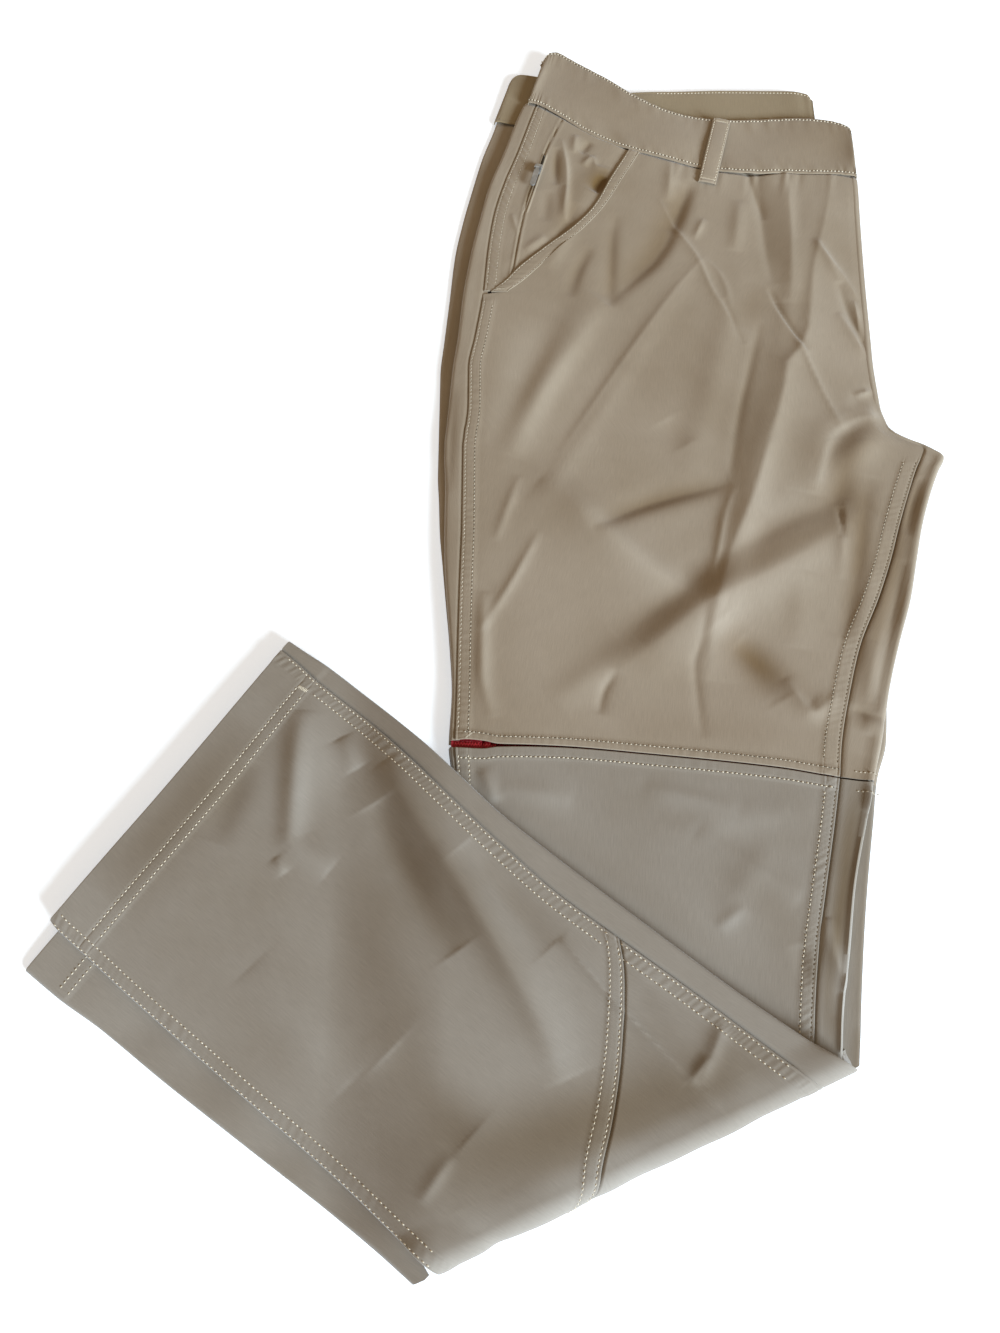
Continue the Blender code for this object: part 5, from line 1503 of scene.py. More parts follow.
def calf_height(x, y):
    """Outer side of the right front below the knee: the leg, folds, creases, seams and flap."""
    from_out = x - upper("outseam", y)
    from_in = upper("front_right", y) - x
    from_knee = knee("y", x) - 0.5 * knee("opening", x) - y
    calm = smooth(np.minimum(from_out, from_in) / 9.0) * smooth(from_knee / 8.0)
    z = top_surface(x, y) + folds(x, y, CALF_FOLDS) + CREASE_GAIN * creases(x, y, CALF_CREASES) * calm
    z = z + seam_relief(from_out, y, OUTSEAM_STITCHES, ripple=0.16, pitch=5.2)
    z = z + seam_relief(from_in, y, CALF_INSEAM_STITCHES, ripple=0.24, pitch=4.4, slant=0.6)
    return z + flap_relief(from_knee, x, LOW_KNEE_STITCH)


columns = marks(stitch_marks(OUTSEAM_STITCHES), 100, stitch_marks(CALF_INSEAM_STITCHES))
rows = marks(stitch_marks((LOW_KNEE_STITCH,)), 120, [0.0])
knee_to_fold = (knee_line(-1), fold_line(UNDER_TURN))
x, y = upper_grid(outseam_line, inseam_line, *knee_to_fold, columns, rows, (-145.0, -330.0))
tables = (CALF_CREASES, CALF_PAINTED_SHADING)
relief_panel("calf_front", "calf_front_right", x, y, calf_height, lower_cloth_painted_cool_light, tables)

# %% Stitches of the right leg
flat_place = lambda height: lambda x, y: stack(x, y, height(x, y))
on_thigh = flat_place(thigh_height)
on_calf = flat_place(calf_height)
on_back = flat_place(back_height)


def knee_back_path(side, inside):
    """Path beside the zip across the strip of back panel at the right."""
    xs = np.arange(176.0, 193.0, 1.0)
    return stack(xs, knee_line(side)(xs) + side * inside)


knee_xs = np.arange(-41.0, 170.0, 1.0)
knee_top_path = stack(knee_xs, knee_line(1)(knee_xs) + KNEE_STITCH)
knee_xs = np.arange(-43.0, 165.0, 1.0)
knee_low_path = stack(knee_xs, knee_line(-1)(knee_xs) - LOW_KNEE_STITCH)
first_row = down_line(outseam_line, OUTSEAM_STITCHES[0], 164.0, -135.0)
second_row = down_line(outseam_line, OUTSEAM_STITCHES[1], 160.0, -135.0)
inseam_row = down_line(inseam_line, -INSEAM_STITCHES[1], 40.0, -152.0)
calf_row = down_line(inseam_line, -CALF_INSEAM_STITCHES[1], -168.0, -300.0)
calf_edge_row = down_line(inseam_line, -CALF_INSEAM_STITCHES[0], -168.0, -300.0)
sew(
    "stitches_thigh",
    [
        stitches(first_row, on_thigh),
        stitches(second_row, on_thigh),
        stitches(inseam_row, on_thigh),
        stitches(knee_top_path, on_thigh, 2.6, 1.6, 0.34),
        bartack((-39.5, -137.6), (-35.5, -134.4), on_thigh, 1.2),
        stitches(knee_back_path(1, KNEE_STITCH), on_back, 2.6, 1.6, 0.34),
        stitches(knee_back_path(-1, LOW_KNEE_STITCH), on_back, 2.6, 1.6, 0.34),
    ],
    thread_khaki,
)
# The stitch row next to the inseam is in the dark thread: painted shade.
sew(
    "stitches_thigh_seams",
    [stitches(down_line(inseam_line, -INSEAM_STITCHES[0], 40.0, -156.0), on_thigh, 2.4, 1.7)],
    thread_painted_shade,
)
# Painted shade in the dents between the stitches of the right leg.
sew(
    "stitch_dents_right_leg",
    [
        dents(second_row, on_thigh),
        dents(inseam_row, on_thigh),
        dents(knee_top_path, on_thigh, 2.6, 0.28),
        dents(knee_low_path, on_calf, 2.6, 0.24),
        dents(calf_row, on_calf),
    ],
    dent_shade_finish,
)
sew(
    "stitches_calf",
    [
        stitches(down_line(outseam_line, OUTSEAM_STITCHES[0], -147.0, -172.0), on_calf),
        stitches(down_line(outseam_line, OUTSEAM_STITCHES[1], -147.0, -186.0), on_calf),
        stitches(calf_row, on_calf),
        stitches(knee_low_path, on_calf, 2.6, 1.6, 0.34),
    ],
    thread,
)
# The stitch row next to the calf's inseam is in the dark thread: painted shade.
sew("stitches_calf_seams", [stitches(calf_edge_row, on_calf, 2.4, 1.7)], thread_painted_shade)

# %% [markdown]
# The zip across the knee lies behind the two flaps. At the left they gape, and show its crimson
# tape and coil. The tape is one woven band, and the coil is two rows of small beads that mesh.

# %% Knee zip
ZIP_REACH = 6.4
ZIP_DROP = 1.9


def zip_height(x, y):
    """Zip behind the flaps: the leg's outer side, less the flap's thickness, with a low ridge along
    the middle where the coil is, a few notches, and deeper where the flaps have closed over it."""
    ridge = 0.5 * bell(y - knee("y", x), 1.8)
    notches = sum(-1.6 * bell(x - at, 0.7) for at in (-29.5, -24.2, -21.4))
    deeper = 3.0 * smooth((x + 25.0) / 8.0)
    shallow = np.maximum(x - upper("top_left", y), 0.0)
    outer = TOP_LEG["base"] + crown(shallow + 0.4, TOP_LEG)
    return outer - ZIP_DROP * smooth(shallow / 3.0) + ridge + notches - deeper


zip_left = lambda y: upper("top_left", y) + 1.4
zip_right = lambda y: upper("front_right", y) - 0.8
above = lambda x: knee("y", x) + ZIP_REACH
below = lambda x: knee("y", x) - ZIP_REACH
zip_sides = (zip_left, zip_right, above, below)
x, y = upper_grid(*zip_sides, line_places(170), line_places(20), (-140.0, -150.0))
grid = stack(x, y, zip_height(x, y))
knee_zip = cloth_shell("knee_zip_tape", grid, zip_tape, wall=0.6)
dress(knee_zip, "knee_zip_right", grid)
tooth_x = np.arange(-45.0, 30.0, 0.8)
tooth_y = knee("y", tooth_x)
lean = 0.45 * (-1.0) ** np.arange(len(tooth_x))
coil = [
    beads(
        stack(tooth_x - 0.1, tooth_y + lean - 1.0),
        stack(tooth_x + 0.1, tooth_y + lean + 1.0),
        flat_place(zip_height),
        0.34,
    )
]
tape_edges = [
    stitches(stack(tooth_x, tooth_y + gap), flat_place(zip_height), 0.8, 0.6, 0.14)
    for gap in (-1.7, 1.7)
]
sew("knee_zip_coil", coil + tape_edges, zip_teeth)

# %% [markdown]
# The lower legs lie folded across. The right one is a pressed tube again. The left one, on top,
# has two front panels parted by a shaped seam, and a back panel that wraps round its far edge.
# All three wind round the fold at the bottom right on one axis, each at its own radius.

# %% Folded right leg
UNDER_HEM_STITCHES = (21.5, 27.0)


def over_right_height(s, t):
    """Top of the folded right leg: the slope it lies on, its thickness and its turned hem."""
    x, _ = to_plan(s, t)
    depth = np.minimum(t - over("under_low", s), over("under_high", s) - t)
    turned = flap_relief(s - UNDER_HEM_AT, t, UNDER_HEM_STITCHES[1], ripple=0.1)
    slow = 0.3 * np.sin(s / 17.0) + 0.2 * np.sin(s / 7.3 + 1.0)
    return climb(x) + np.maximum(crown(depth, OVER_RIGHT) + (turned + slow) * smooth(depth / 3.0), RIM)


def over_tube(rows):
    """Grid of the tube: over its top across t, and back under it along the slope."""
    columns, below = flat_tube(60, 16)
    low = lambda s: over("under_low", s)
    high = lambda s: over("under_high", s)
    end = lambda t: FOLD_AT + FOLD_SLANT * t - 14.0 + 13.0 * np.clip((-5.6 - t) / 3.4, 0.0, 1.0)
    start = lambda t: np.full_like(t, UNDER_HEM_AT)
    places = marks([0.0, 0.1, 0.3, 0.6, 1.2, 2.4], rows, [0.0])
    s, t = over_grid(low, high, start, end, columns, places)
    x, y = to_plan(s, t)
    z = np.where(below[None, :], climb(x), over_right_height(s, t))
    return stack(x, y, z)


grid = over_tube(200)
over_right = cloth_shell("lower_leg_right", grid, lower_cloth_painted_cool_light, closed=True)
dress(over_right, "calf_right_over", grid)


def on_over_right(s, t):
    """Place on top of the folded right leg."""
    x, y = to_plan(s, t)
    return stack(x, y, over_right_height(s, t))


hem_ts = np.arange(-24.0, 2.0, 1.0)
sew(
    "stitches_lower_leg_right",
    [
        stitches(stack(np.full_like(hem_ts, UNDER_HEM_AT + d), hem_ts), on_over_right)
        for d in UNDER_HEM_STITCHES
    ],
    thread,
)

# %% Folded left leg
HEM_DROP = 2.8
HEM_STITCHES = (22.4, 28.2)
LOW_STITCHES = (1.3, 7.0)
FAR_STITCHES = (1.5, 7.4)
CROSS_STITCHES = (2.1, 9.0)


def hem_line(t):
    """Left leg's hem, as s at each t: straight, and dropping a little towards the inseam."""
    return -HEM_DROP * np.clip((t - 70.0) / 120.0, 0.0, 1.0) ** 1.5


def left_over_height(s, t):
    """Outer side of the left folded leg without its folds: the slope, then a thickness that rises
    round the edge, and that grows near the fold until the leg is as high as the fold."""
    x, _ = to_plan(s, t)
    depth = np.minimum(t - over("low", s), over("high", s) - t)
    rounded = np.sqrt(1.0 - np.clip(1.0 - depth / EDGE_ROUND, 0.0, 1.0) ** 2)
    thick = crown(np.maximum(depth, EDGE_ROUND), OVER_LEFT)
    ground = climb(x) + OVER_LEFT["base"]
    near = smooth(1.0 - (fold_start(t) - s) / 16.0)
    lift = (2.0 * FOLD_RADIUS - ground - thick) * near
    rounded = rounded + (0.9 - 0.9 * rounded) * near
    return ground + RIM + (thick + lift - RIM) * rounded


def over_front_height(s, t):
    """Outer side of the left front with everything on it: folds and creases, which flatten at the
    fold, the seams along both edges, the hem, and dents in the folded edge."""
    x, y = to_plan(s, t)
    from_low = t - over("low", s)
    from_in = over("inseam", s) - t
    from_hem = s - hem_line(t)
    flat = np.clip((fold_start(t) - s) / 14.0, 0.0, 1.0)
    calm = smooth(np.minimum(from_low, from_in) / 10.0) * (0.25 + 0.75 * smooth(from_hem / 30.0))
    z = left_over_height(s, t) + folds(x, y, OVER_FOLDS) * flat
    z = z + CREASE_GAIN * creases(x, y, OVER_CREASES) * flat * calm
    z = z + seam_relief(from_low, s, LOW_STITCHES, lift=0.4, ripple=0.12, pitch=4.9, slant=0.35)
    z = z + seam_relief(from_in, s, FAR_STITCHES, lift=0.5, ripple=0.15, pitch=4.6, slant=0.35)
    turning = 0.4 * (1.0 - smooth((from_hem - HEM_STITCHES[1] - 0.3) / 1.4))
    grooves = sum(-0.2 * bell(from_hem - line, 0.5) for line in HEM_STITCHES)
    z = z + turning + grooves + edge_roll(from_hem, 0.7)
    dents = 0.9 * bell(t - 21.0, 5.0) + 0.6 * bell(t - 62.0, 7.0)
    waves = 0.3 * np.sin(t / 11.0) + 0.2 * np.sin(t / 4.6 + 2.0)
    return z - (dents + waves * smooth(from_low / 8.0)) * (1.0 - flat)


def hem_panel_height(s, t):
    """The lower of the two front panels, which laps over the shaped seam."""
    from_cross = cross_seam("s", t) - s
    lap = seam_relief(from_cross, t, CROSS_STITCHES, lift=0.35, ripple=0.1, pitch=5.0)
    return over_front_height(s, t) + lap


def shaped_panel_height(s, t):
    """The upper one, pulled down into that seam."""
    return over_front_height(s, t) - 0.8 * smooth(1.0 - (s - cross_seam("s", t)) / 1.8)


def over_panel(name, solid, s, t, height):
    """Front panel of the folded left leg, wound round the fold. Its painted shading fades out at the
    turn.
    """
    z = height(s, t)
    tone = crease_painted_shading(*to_plan(s, t), OVER_CREASES, OVER_PAINTED_SHADING)
    tone = tone * smooth((fold_start(t) - s) / 14.0)
    made = cloth_shell(name, rolled(s, t, z), lower_cloth_painted_cool_light, relief=z, tone=tone)
    dress(made, solid, stack(s, t))


low_edge = lambda s: over("low", s)
far_seam = lambda s: over("inseam", s)
high_edge = lambda s: over("high", s)
around = lambda t: fold_start(t) + math.pi * FOLD_RADIUS / FOLD_COS
before_cross = lambda t: np.minimum(cross_seam("s", t) - 0.1, around(t))
columns = marks(stitch_marks(LOW_STITCHES), 124, stitch_marks(FAR_STITCHES))
hem_rows = sorted(set(stitch_marks(HEM_STITCHES)) | set(np.arange(2.2, 21.0, 1.5)))
rows = marks(hem_rows, 230, stitch_marks(CROSS_STITCHES))
s, t = over_grid(low_edge, far_seam, hem_line, before_cross, columns, rows)
over_panel("lower_leg_left_front", "calf_front_left_hem", s, t, hem_panel_height)

lowest = lambda s: over("low", s) + 5.0 / 16.0 * (over("inseam", s) - over("low", s))
after_cross = lambda t: cross_seam("s", t) + 0.1
columns = marks([0.0, 0.5], 90, stitch_marks(FAR_STITCHES))
rows = marks([0.0, 0.3, 0.7, 1.2, 1.9], 150, [0.0])
s, t = over_grid(lowest, far_seam, after_cross, around, columns, rows)
over_panel("lower_leg_left_shaped_front", "calf_front_left_knee", s, t, shaped_panel_height)


def over_back_wrap(rows):
    """Grid of the back panel: from the inseam to the far edge, round it, and flat underneath along
    the slope to the near edge. It winds round the fold inside the front panels."""
    reach = strip_offsets[-1]
    lines = [lambda s, d=d: far_seam(s) + d for d in strip_offsets]
    lines += [lambda s, f=f: (far_seam(s) + reach) * (1 - f) + high_edge(s) * f for f in strip_shares]
    below = len(lines)
    lines += [
        lambda s, f=f: high_edge(s) * (1 - f) + (low_edge(s) + 2.4) * f for f in np.linspace(0, 1, 16)
    ]
    single = marks([0.0], 1, [0.0])
    s_columns = []
    t_columns = []
    for line in lines:
        s, t = over_grid(line, line, hem_line, around, single, marks([0.0, 0.3, 0.8], rows, [0.0]))
        s_columns.append(s[:, 0])
        t_columns.append(t[:, 0])
    s = np.stack(s_columns, axis=1)
    t = np.stack(t_columns, axis=1)
    x, _ = to_plan(s, t)
    past_seam = t - far_seam(s)
    flat = smooth((fold_start(t) - s) / 10.0)
    height = left_over_height(s, t) - SEAM_DIP * smooth(1.0 - past_seam / 1.8) * (0.15 + 0.85 * flat)
    turning = 0.35 * (1.0 - smooth((s - hem_line(t) - HEM_STITCHES[1]) / 1.4))
    height = height + turning * smooth(past_seam / 2.0)
    height[:, below:] = (np.where(s > fold_start(t), CLIMB, climb(x)) + OVER_LEFT["base"])[:, below:]
    return rolled(s, t, height)


grid = over_back_wrap(260)
left_back = cloth_shell("lower_leg_left_back", grid, lower_cloth_painted_cool_light)
dress(left_back, "calf_back_left_over", grid)

# %% Stitches of the folded left leg
on_hem_panel = lambda s, t: rolled(s, t, hem_panel_height(s, t))
on_shaped_panel = lambda s, t: rolled(s, t, shaped_panel_height(s, t))


def along_over(line, inside, start, end):
    """Path along the folded leg at a distance from a line of its sections."""
    s = np.arange(start, end, 1.0)
    return stack(s, line(s) + inside)


def across_over(line, inside, start, end):
    """Path across the folded leg at a distance from a line given as s at each t."""
    t = np.arange(start, end, 1.0)
    return stack(line(t) + inside, t)


cross_line = lambda t: cross_seam("s", t)
turn_at = 351.0  # where the far seam starts to turn over the fold
sew(
    "stitches_lower_leg_left",
    [
        stitches(along_over(far_seam, -FAR_STITCHES[0], 4.0, 241.0), on_hem_panel, 2.8),
        stitches(along_over(far_seam, -FAR_STITCHES[1], 30.0, 244.0), on_hem_panel, 2.8),
        stitches(along_over(far_seam, -FAR_STITCHES[0], 247.0, turn_at), on_shaped_panel, 2.8),
        stitches(along_over(far_seam, -FAR_STITCHES[1], 249.0, turn_at), on_shaped_panel, 2.8),
        stitches(along_over(low_edge, LOW_STITCHES[0], 3.0, 262.0), on_hem_panel, 2.9),
        stitches(along_over(low_edge, LOW_STITCHES[1], 3.0, 258.0), on_hem_panel, 2.9),
        stitches(across_over(hem_line, HEM_STITCHES[0], 8.0, 177.0), on_hem_panel, 2.7),
        stitches(across_over(hem_line, HEM_STITCHES[1], 8.0, 175.0), on_hem_panel, 2.7),
        stitches(across_over(cross_line, -CROSS_STITCHES[0], 42.0, 168.0), on_hem_panel, 2.7),
        stitches(across_over(cross_line, -CROSS_STITCHES[1], 45.0, 168.0), on_hem_panel, 2.7),
        bartack((20.6, 176.0), (26.2, 176.6), on_hem_panel, 2.4),
    ],
    thread,
)

# %% [markdown]
# Behind the scoop pocket's doubled edge, the facing shows, creased by the hand that used it. A
# short concealed zip for coins lies in a seam of the facing: two soft lips of cloth meet over the
# coil, and part a little above the slider, whose tab lies flat. The slider and its tab are the
# frame's own solids, because their shape is right; they only need their metal.

# %% Pocket
COIN_SEAM = [(24.5, 323.0), (12.0, 292.0), (6.6, 273.3), (0.1, 253.5), (-6.3, 222.0), (-11.9, 186.0)]


def facing_height(x, y):
    """Pocket facing: the leg, the outseam's stitched border, creases, a hollow towards the mouth
    of the pocket, and the seam of the coin zip as a narrow furrow between two low lips."""
    from_out = x - upper("outseam", y)
    to_edge = pocket("edge_x", y) - x
    beside_zip, _ = beside(x, y, curve(COIN_SEAM))
    calm = smooth(from_out / 9.0)
    z = top_surface(x, y) + 1.6 * creases(x, y, FACING_CREASES) * calm
    z = z + seam_relief(from_out, y, OUTSEAM_STITCHES, lift=0.35, ripple=0.3, pitch=6.5, slant=0.8)
    furrow = -0.6 * bell(beside_zip, 0.55)
    lips = 0.3 * bell(np.abs(beside_zip) - 1.5, 1.0)
    hollow = -0.7 * (1.0 - smooth(to_edge / 14.0))
    return z + (furrow + lips) * calm + hollow * smooth((y - 176.0) / 20.0) - under_band_dip(x, y)


def edge_height(x, y):
    """Doubled edge of the pocket: raised over the facing, rolled at the opening, with the panel's
    own height at its outer stitch line."""
    width = pocket("stitch_x", y) - pocket("edge_x", y)
    inside = x - pocket("edge_x", y)
    grooves = -0.2 * bell(inside - 1.3, 0.5) - 0.3 * bell(width - inside - 0.9, 0.5)
    z = top_surface(x, y) + 0.75 + edge_roll(inside, 0.8) + grooves + 0.1 * wave(y, 6.1)
    return z - under_band_dip(x, y)


pocket_opening = lambda y: pocket("edge_x", y)
under_opening = lambda y: pocket("edge_x", y) + 1.0
over_stitches = lambda y: pocket("stitch_x", y) + 0.1
facing_end = lambda x: np.full_like(x, POCKET_END + 1.0)
edge_end = lambda x: np.full_like(x, POCKET_END)
columns = marks(stitch_marks(OUTSEAM_STITCHES), 64, [0.0])
facing_sides = (outseam_line, under_opening, waist_line, facing_end)
x, y = upper_grid(*facing_sides, columns, line_places(170), (300.0, 171.0))
tables = (FACING_CREASES, FACING_PAINTED_SHADING)
relief_panel("pocket_facing", "pocket_facing_right", x, y, facing_height, cloth, tables)
columns = marks([0.0, 0.1, 0.3, 0.6, 0.9, 1.3, 1.7, 2.4], 6, [0.0, 0.4, 0.9, 1.4])
edge_sides = (pocket_opening, over_stitches, waist_line, edge_end)
x, y = upper_grid(*edge_sides, columns, line_places(150), (295.0, 171.0))
grid = stack(x, y, edge_height(x, y))
pocket_edge = cloth_shell("pocket_edge", grid, cloth, wall=1.2)
dress(pocket_edge, "pocket_edge_right", grid)
on_facing = flat_place(facing_height)
on_edge = flat_place(edge_height)
pocket_ys = np.arange(288.0, 173.0, -1.0)
inner_path = stack(pocket("edge_x", pocket_ys) + 1.3, pocket_ys)
outer_path = stack(pocket("stitch_x", pocket_ys) - 0.9, pocket_ys)
sew(
    "stitches_pocket",
    [
        stitches(inner_path, on_edge, 2.5),
        stitches(outer_path, on_edge, 2.5),
        stitches(down_line(outseam_line, OUTSEAM_STITCHES[0], 332.0, 175.0), on_facing),
        stitches(down_line(outseam_line, OUTSEAM_STITCHES[1], 326.0, 176.0), on_facing),
        bartack((-24.0, 172.6), (-17.0, 172.6), on_edge, 1.8),
    ],
    thread_khaki,
)

# %% Coin zip
COIN_ZIP_TOP = (12.5, 292.0)
COIN_ZIP_END = (-3.0, 236.0)
zip_run = np.array(COIN_ZIP_TOP) - np.array(COIN_ZIP_END)
zip_length = float(np.hypot(*zip_run))
zip_along = zip_run / zip_length
zip_side = np.array([zip_along[1], -zip_along[0]])


def coin_place(q, a, rise):
    """Place beside the coin zip: q across it, a along it from its lower end, at a height over the
    facing."""
    x = COIN_ZIP_END[0] + a * zip_along[0] + q * zip_side[0]
    y = COIN_ZIP_END[1] + a * zip_along[1] + q * zip_side[1]
    return stack(x, y, facing_height(x, y) + rise)


q = np.linspace(-2.3, 2.3, 23)[None, :]
a = np.linspace(zip_length, 0.0, 80)[:, None]
taper = smooth(a / 5.0) * smooth((zip_length - a) / 5.0)
crest = 0.75 * bell(np.abs(q) - 1.1, 0.75) * taper
valley = -0.5 * bell(q, 0.3) * taper
grid = coin_place(q + 0.0 * a, a + 0.0 * q, crest + valley - 0.12)
# Painted shade from the facing's tables, in the coin zip's seam and round its tab.
tone = crease_painted_shading(grid[..., 0], grid[..., 1], FACING_CREASES, FACING_PAINTED_SHADING)
coin_lips = cloth_shell("coin_zip_lips", grid, cloth, wall=0.3, tone=tone)
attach(coin_lips, "trousers")
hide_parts("coin_zip_tape")

slider_at = 39.5
teeth_a = np.arange(slider_at + 1.0, slider_at + 15.0, 0.75)
opening = 1.15 * np.sin(np.pi * np.clip((teeth_a - slider_at + 0.5) / 16.0, 0.0, 1.0)) ** 0.8
on_lips = lambda q, a: coin_place(q, a, 0.42 + 0.0 * q)
teeth = []
for side in (-1.0, 1.0):
    outer_end = stack(side * (opening + 0.1), teeth_a)
    inner_end = stack(side * 0.12 + 0.0 * teeth_a, teeth_a + 0.2 * side)
    teeth.append(beads(inner_end, outer_end, on_lips, 0.36))
sew("coin_zip_coil", teeth, coil_dark)
for name in ("coin_zip_slider", "coin_zip_pull"):
    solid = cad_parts[name]
    for place in solid.material_slots:
        place.material = metal
    print(name, "keeps its solid")

# %% [markdown]
# A waistband is a strip folded double over its top edge, with a row of stitches along both edges.
# It is drawn on its own two parameters, along and up, so that its stitches keep to its curve. The
# back one shows its inner side past the front one, darker where the light doesn't reach.

# %% Waistbands
BAND_LENGTH = 250.0
BAND_HEIGHT = 48.0
BACK_BAND_HEIGHT = 60.0
LEFT_BAND_HEIGHT = 46.0
BAND_STITCH = 2.3
BAND_TOP_STITCH = 2.5


def band_plan(sections, u, v):
    """Plan of a band: straight lines from its lower seam to its top edge, run along it."""
    table = np.array(sections, float)
    rows = np.linspace(0.0, 1.0, len(table))
    low_x, low_y, top_x, top_y = (pchip(u, rows, table[:, k]) for k in range(4))
    return low_x * (1.0 - v) + top_x * v, low_y * (1.0 - v) + top_y * v


def band_profile(up, height, roll):
    """Height added across a band: both edges rolled, and a groove under each stitch row."""
    edges = edge_roll(up, 0.7) + edge_roll(height - up, roll)
    grooves = -0.2 * bell(up - BAND_STITCH, 0.6)
    grooves = grooves - 0.2 * bell(height - up - BAND_TOP_STITCH, 0.7)
    return edges + grooves


def front_band(u, v):
    """Outer side of the front band: flat over the leg, round at both ends, softly uneven, and
    gathered a little by each stitch row."""
    x, y = band_plan(WAISTBAND_SECTIONS, u, v)
    depth = np.minimum(u, 1.0 - u) * BAND_LENGTH
    up = v * BAND_HEIGHT
    along = u * BAND_LENGTH
    slow = 0.55 * np.sin(along / 19.0 + 0.06 * up) + 0.35 * np.sin(along / 8.5 - 0.09 * up + 1.0)
    near_rows = bell(up - 4.0, 5.0) + 0.7 * bell(44.0 - up, 5.0)
    gathers = 0.3 * wave(along, 9.4) * near_rows
    loop_dip = -0.4 * bell(along - 141.0 + 0.25 * up, 11.0)
    z = TOP_LEG["base"] + crown(depth, TOP_LEG) + 0.5 + band_profile(up, BAND_HEIGHT, 1.8)
    return stack(x, y, z + (slow + gathers + loop_dip) * smooth(depth / 6.0))


def band_painted_shading(u, v):
    """Painted shading of the front band: darker towards its right end, painted shade beside the loop
    and in the small troughs between the gathers of both stitch rows, and paler towards its left
    end."""
    along = u * BAND_LENGTH
    up = v * BAND_HEIGHT
    right_end = -0.5 * bell(along - 226.0, 24.0) * smooth((up - 2.0) / 20.0)
    by_loop = -0.22 * bell(along - 152.0 + 0.25 * up, 9.0)
    near_rows = bell(up - 6.0, 6.0) + 0.8 * bell(41.0 - up, 7.0)
    troughs = -0.26 * np.maximum(-wave(along + 0.15 * up, 9.4), 0.0) * near_rows
    left_end = 0.14 * bell(along - 30.0, 26.0)
    return np.clip(right_end + by_loop + troughs + left_end, -1.0, 0.4)


def back_band(u, v):
    """Inner side of the back band, clear of the front one's seam."""
    x, y = band_plan(BACK_BAND_SECTIONS, u, v)
    y = np.maximum(y, waist("seam_y", np.clip(x, 0.0, 230.0)) + 0.2)
    up = v * BACK_BAND_HEIGHT
    slow = 0.3 * np.sin(u * 11.0 + 1.0) + 0.15 * np.sin(u * 31.0)
    return stack(x, y, 6.3 + slow + band_profile(up, BACK_BAND_HEIGHT, 1.5) + 0.0 * x)


def under_band(u, v):
    """Band of the left leg underneath."""
    x, y = band_plan(LEFT_BAND_SECTIONS, u, v)
    depth = np.minimum(u, 1.0 - u) * BAND_LENGTH
    rolled_edges = band_profile(v * LEFT_BAND_HEIGHT, LEFT_BAND_HEIGHT, 1.4)
    z = np.minimum(crown(depth, UNDER_LEG) + 0.2, 4.1) + rolled_edges
    return stack(x, y, np.maximum(z, RIM))


def band_rows(height, middle):
    """Shares from the top edge of a band to its seam, close together at the stitch rows."""
    edge = [0.0, 0.1, 0.3, 0.6, 1.0, 1.35, 1.7, 2.05, 2.5, 2.95, 3.6]
    places = marks(edge, middle, edge)
    return 1.0 - between(0.0, height, places) / height


band_ends = [0.0, 0.1, 0.3, 0.6, 1.0, 1.6, 2.4]
band_columns = between(0.0, BAND_LENGTH, marks(band_ends, 190, band_ends)) / BAND_LENGTH
u, v = np.meshgrid(band_columns, band_rows(BAND_HEIGHT, 26))
grid = front_band(u, v)
# The front band carries its painted shading as an attribute.
band_front = cloth_shell("waistband_front", grid, cloth, wall=1.6, tone=band_painted_shading(u, v))
dress(band_front, "waistband_front_right", grid)
u, v = np.meshgrid(np.linspace(0.0, 1.0, 120), band_rows(BACK_BAND_HEIGHT, 24))
grid = back_band(u, v)
# The back band and the left leg's band take the darker copy of the cloth: painted shade.
band_back = cloth_shell("waistband_back", grid, cloth_painted_shade, wall=1.6)
dress(band_back, "waistband_back_right", grid)
u, v = np.meshgrid(band_columns[::2], band_rows(LEFT_BAND_HEIGHT, 20))
grid = under_band(u, v)
band_left = cloth_shell("waistband_left", grid, cloth_painted_shade, wall=0.65)
dress(band_left, "waistband_left_under", grid)


def band_path(start, end, v, count=400):
    """Path along a band at one share of its height."""
    u = np.linspace(start, end, count)
    return stack(u, np.full_like(u, v))


top_row = band_path(0.03, 0.988, 1.0 - BAND_TOP_STITCH / BAND_HEIGHT)
seam_row = band_path(0.012, 0.995, BAND_STITCH / BAND_HEIGHT)
back_row = band_path(0.3, 0.97, 1.0 - BAND_TOP_STITCH / BACK_BAND_HEIGHT)
left_row = band_path(0.02, 0.3, BAND_STITCH / LEFT_BAND_HEIGHT)
sew(
    "stitches_waistband",
    [
        stitches(top_row, front_band, 2.5, 1.5, 0.42),
        stitches(seam_row, front_band, 2.5, 1.5, 0.4),
        stitches(back_row, back_band, 2.5, 1.5, 0.3),
    ],
    thread,
)
# Painted shade in the dents between the waistband's stitches.
band_dent_shade = [dents(row, front_band, 2.5, 0.34) for row in (top_row, seam_row)]
sew("stitch_dents_waistband", band_dent_shade, dent_shade_finish)
# The left band's stitches lie in the top leg's shade, painted with the dark thread.
sew("stitches_waistband_left", [stitches(left_row, under_band)], thread_painted_shade)

# %% [markdown]
# The belt loop is a narrow strip folded in three, with a stitch row along both sides. Both ends
# are turned under and tacked down; between them it stands a little off the band.

# %% Belt loop
LOOP_LOW = np.array([124.0, 262.5])
LOOP_HIGH = np.array([139.0, 321.0])
LOOP_WIDTH = 12.4
LOOP_WALL = 1.5
LOOP_ARCH = 1.2
loop_run = LOOP_HIGH - LOOP_LOW
loop_length = float(np.hypot(*loop_run))
loop_side = np.array([loop_run[1], -loop_run[0]]) / loop_length


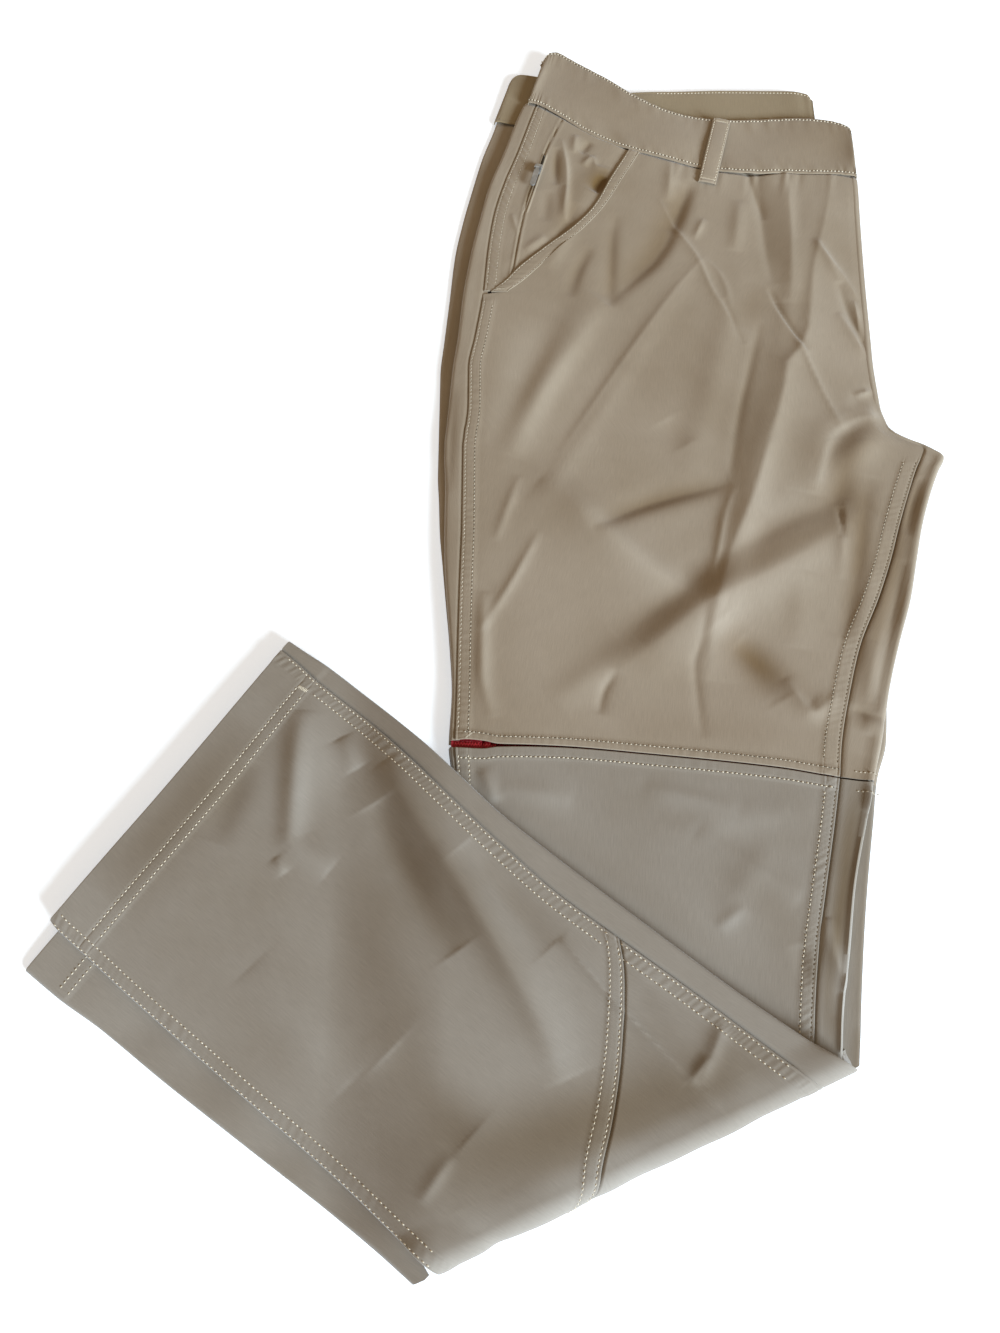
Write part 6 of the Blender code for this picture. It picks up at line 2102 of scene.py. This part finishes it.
def loop_place(q, a):
    """Outer side of the loop: q across and a along, both in millimetres. A squared sine arches it,
    both sides and both ends roll down, and each stitch row has its groove."""
    share = a / loop_length
    x = LOOP_LOW[0] + share * loop_run[0] + q * loop_side[0]
    y = LOOP_LOW[1] + share * loop_run[1] + q * loop_side[1]
    arch = LOOP_ARCH * np.sin(np.pi * np.clip((share - 0.1) / 0.8, 0.0, 1.0)) ** 2
    to_side = 0.5 * LOOP_WIDTH - np.abs(q)
    to_end = np.minimum(a, loop_length - a)
    grooves = -0.2 * bell(to_side - 1.3, 0.45) - 0.45 * bell(to_end - 3.0, 1.3)
    crown_part = 0.25 * np.cos(np.pi * np.clip(q / LOOP_WIDTH, -0.5, 0.5))
    edges = edge_roll(to_side, 0.8) + edge_roll(to_end, 1.0)
    z = TOP_LEG["base"] + TOP_LEG["middle"] + 0.8 + LOOP_WALL + arch + edges + grooves + crown_part
    return stack(x, y, z - 0.15)


side_marks = [0.0, 0.1, 0.3, 0.6, 0.9, 1.1, 1.3, 1.5, 1.8, 2.4]
q = between(-0.5 * LOOP_WIDTH, 0.5 * LOOP_WIDTH, marks(side_marks, 8, side_marks))
end_marks = [0.0, 0.1, 0.3, 0.6, 1.0, 1.6, 2.2, 3.0, 3.8, 4.6]
from_start, from_end, share = marks(end_marks, 40, end_marks)
a = between(loop_length, 0.0, (-from_start, -from_end, share))
q, a = np.meshgrid(q, a)
grid = loop_place(q, a)
belt_loop = cloth_shell("belt_loop", grid, cloth, wall=LOOP_WALL)
dress(belt_loop, "belt_loop_right", grid)
loop_stitch = 0.5 * LOOP_WIDTH - 1.3
loop_as = np.arange(2.0, loop_length - 2.0, 0.5)
side_paths = [stack(np.full_like(loop_as, side * loop_stitch), loop_as) for side in (-1, 1)]
tack = 0.5 * LOOP_WIDTH - 1.6
sew(
    "stitches_belt_loop",
    [stitches(path, loop_place, 2.5) for path in side_paths]
    + [bartack((-tack, at), (tack, at), loop_place, 1.5) for at in (3.0, loop_length - 3.0)],
    thread,
)

# %% [markdown]
# The floor is plain and pale, and glows a little, as a light table does. The light is a large cool
# window low at the lower right, which rakes over the creases, and a warm soft room from above, so
# that slopes that turn away from the window go warm and dark.

# %% Floor and light
FLOOR_GLOW = {"Emission_Color": (0.72, 0.85, 1.0, 1.0), "Emission_Strength": 0.5}
FLOOR_HALF = 3.0  # metres from the middle to each side
FLOOR_HEIGHT = -0.0004
floor_finish = new_finish("pale_floor", (0.9, 0.9, 0.9), 0.9, **FLOOR_GLOW)[0]
floor_mesh = bpy.data.meshes.new("floor")
floor_corners = [(-1, -1), (1, -1), (1, 1), (-1, 1)]
floor_points = [(a * FLOOR_HALF, b * FLOOR_HALF, FLOOR_HEIGHT) for a, b in floor_corners]
floor_mesh.from_pydata(floor_points, [], [(0, 1, 2, 3)])
floor = bpy.data.objects.new("floor", floor_mesh)
bpy.context.scene.collection.objects.link(floor)
floor_mesh.materials.append(floor_finish)
floor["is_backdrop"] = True


def softbox(name, place, target, size, power, colour):
    """Square area light at a place, turned towards a target."""
    data = bpy.data.lights.new(name, "AREA")
    data.size = size
    data.energy = power
    data.color = colour
    lamp = bpy.data.objects.new(name, data)
    lamp.location = place
    away = np.array(place) - np.array(target)
    away = away / np.linalg.norm(away)
    lamp.rotation_euler = (math.acos(away[2]), 0.0, math.atan2(away[0], -away[1]))
    bpy.context.scene.collection.objects.link(lamp)
    return lamp


WINDOW_PLACE = (4.9, -4.9, 2.8)
softbox("window", WINDOW_PLACE, (0.0, 0.0, 0.0), 2.3, 1300.0, (0.71, 0.86, 1.0))
softbox("ceiling", (-0.5, 0.9, 2.4), (0.0, 0.2, 0.0), 1.6, 6.0, (1.0, 0.90, 0.72))
world = bpy.data.worlds.new("room")
world.use_nodes = True
world.node_tree.nodes["Background"].inputs["Color"].default_value = (1.0, 0.77, 0.52, 1.0)
world.node_tree.nodes["Background"].inputs["Strength"].default_value = 0.44
bpy.context.scene.world = world

# %% Sizes and finish
low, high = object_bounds()
sizes = {"cad": [list(cad_low), list(cad_high)], "visual": [list(low), list(high)]}
print("CAD box", [round(b - a, 4) for a, b in zip(cad_low, cad_high)])
print("visual box", [round(b - a, 4) for a, b in zip(low, high)])
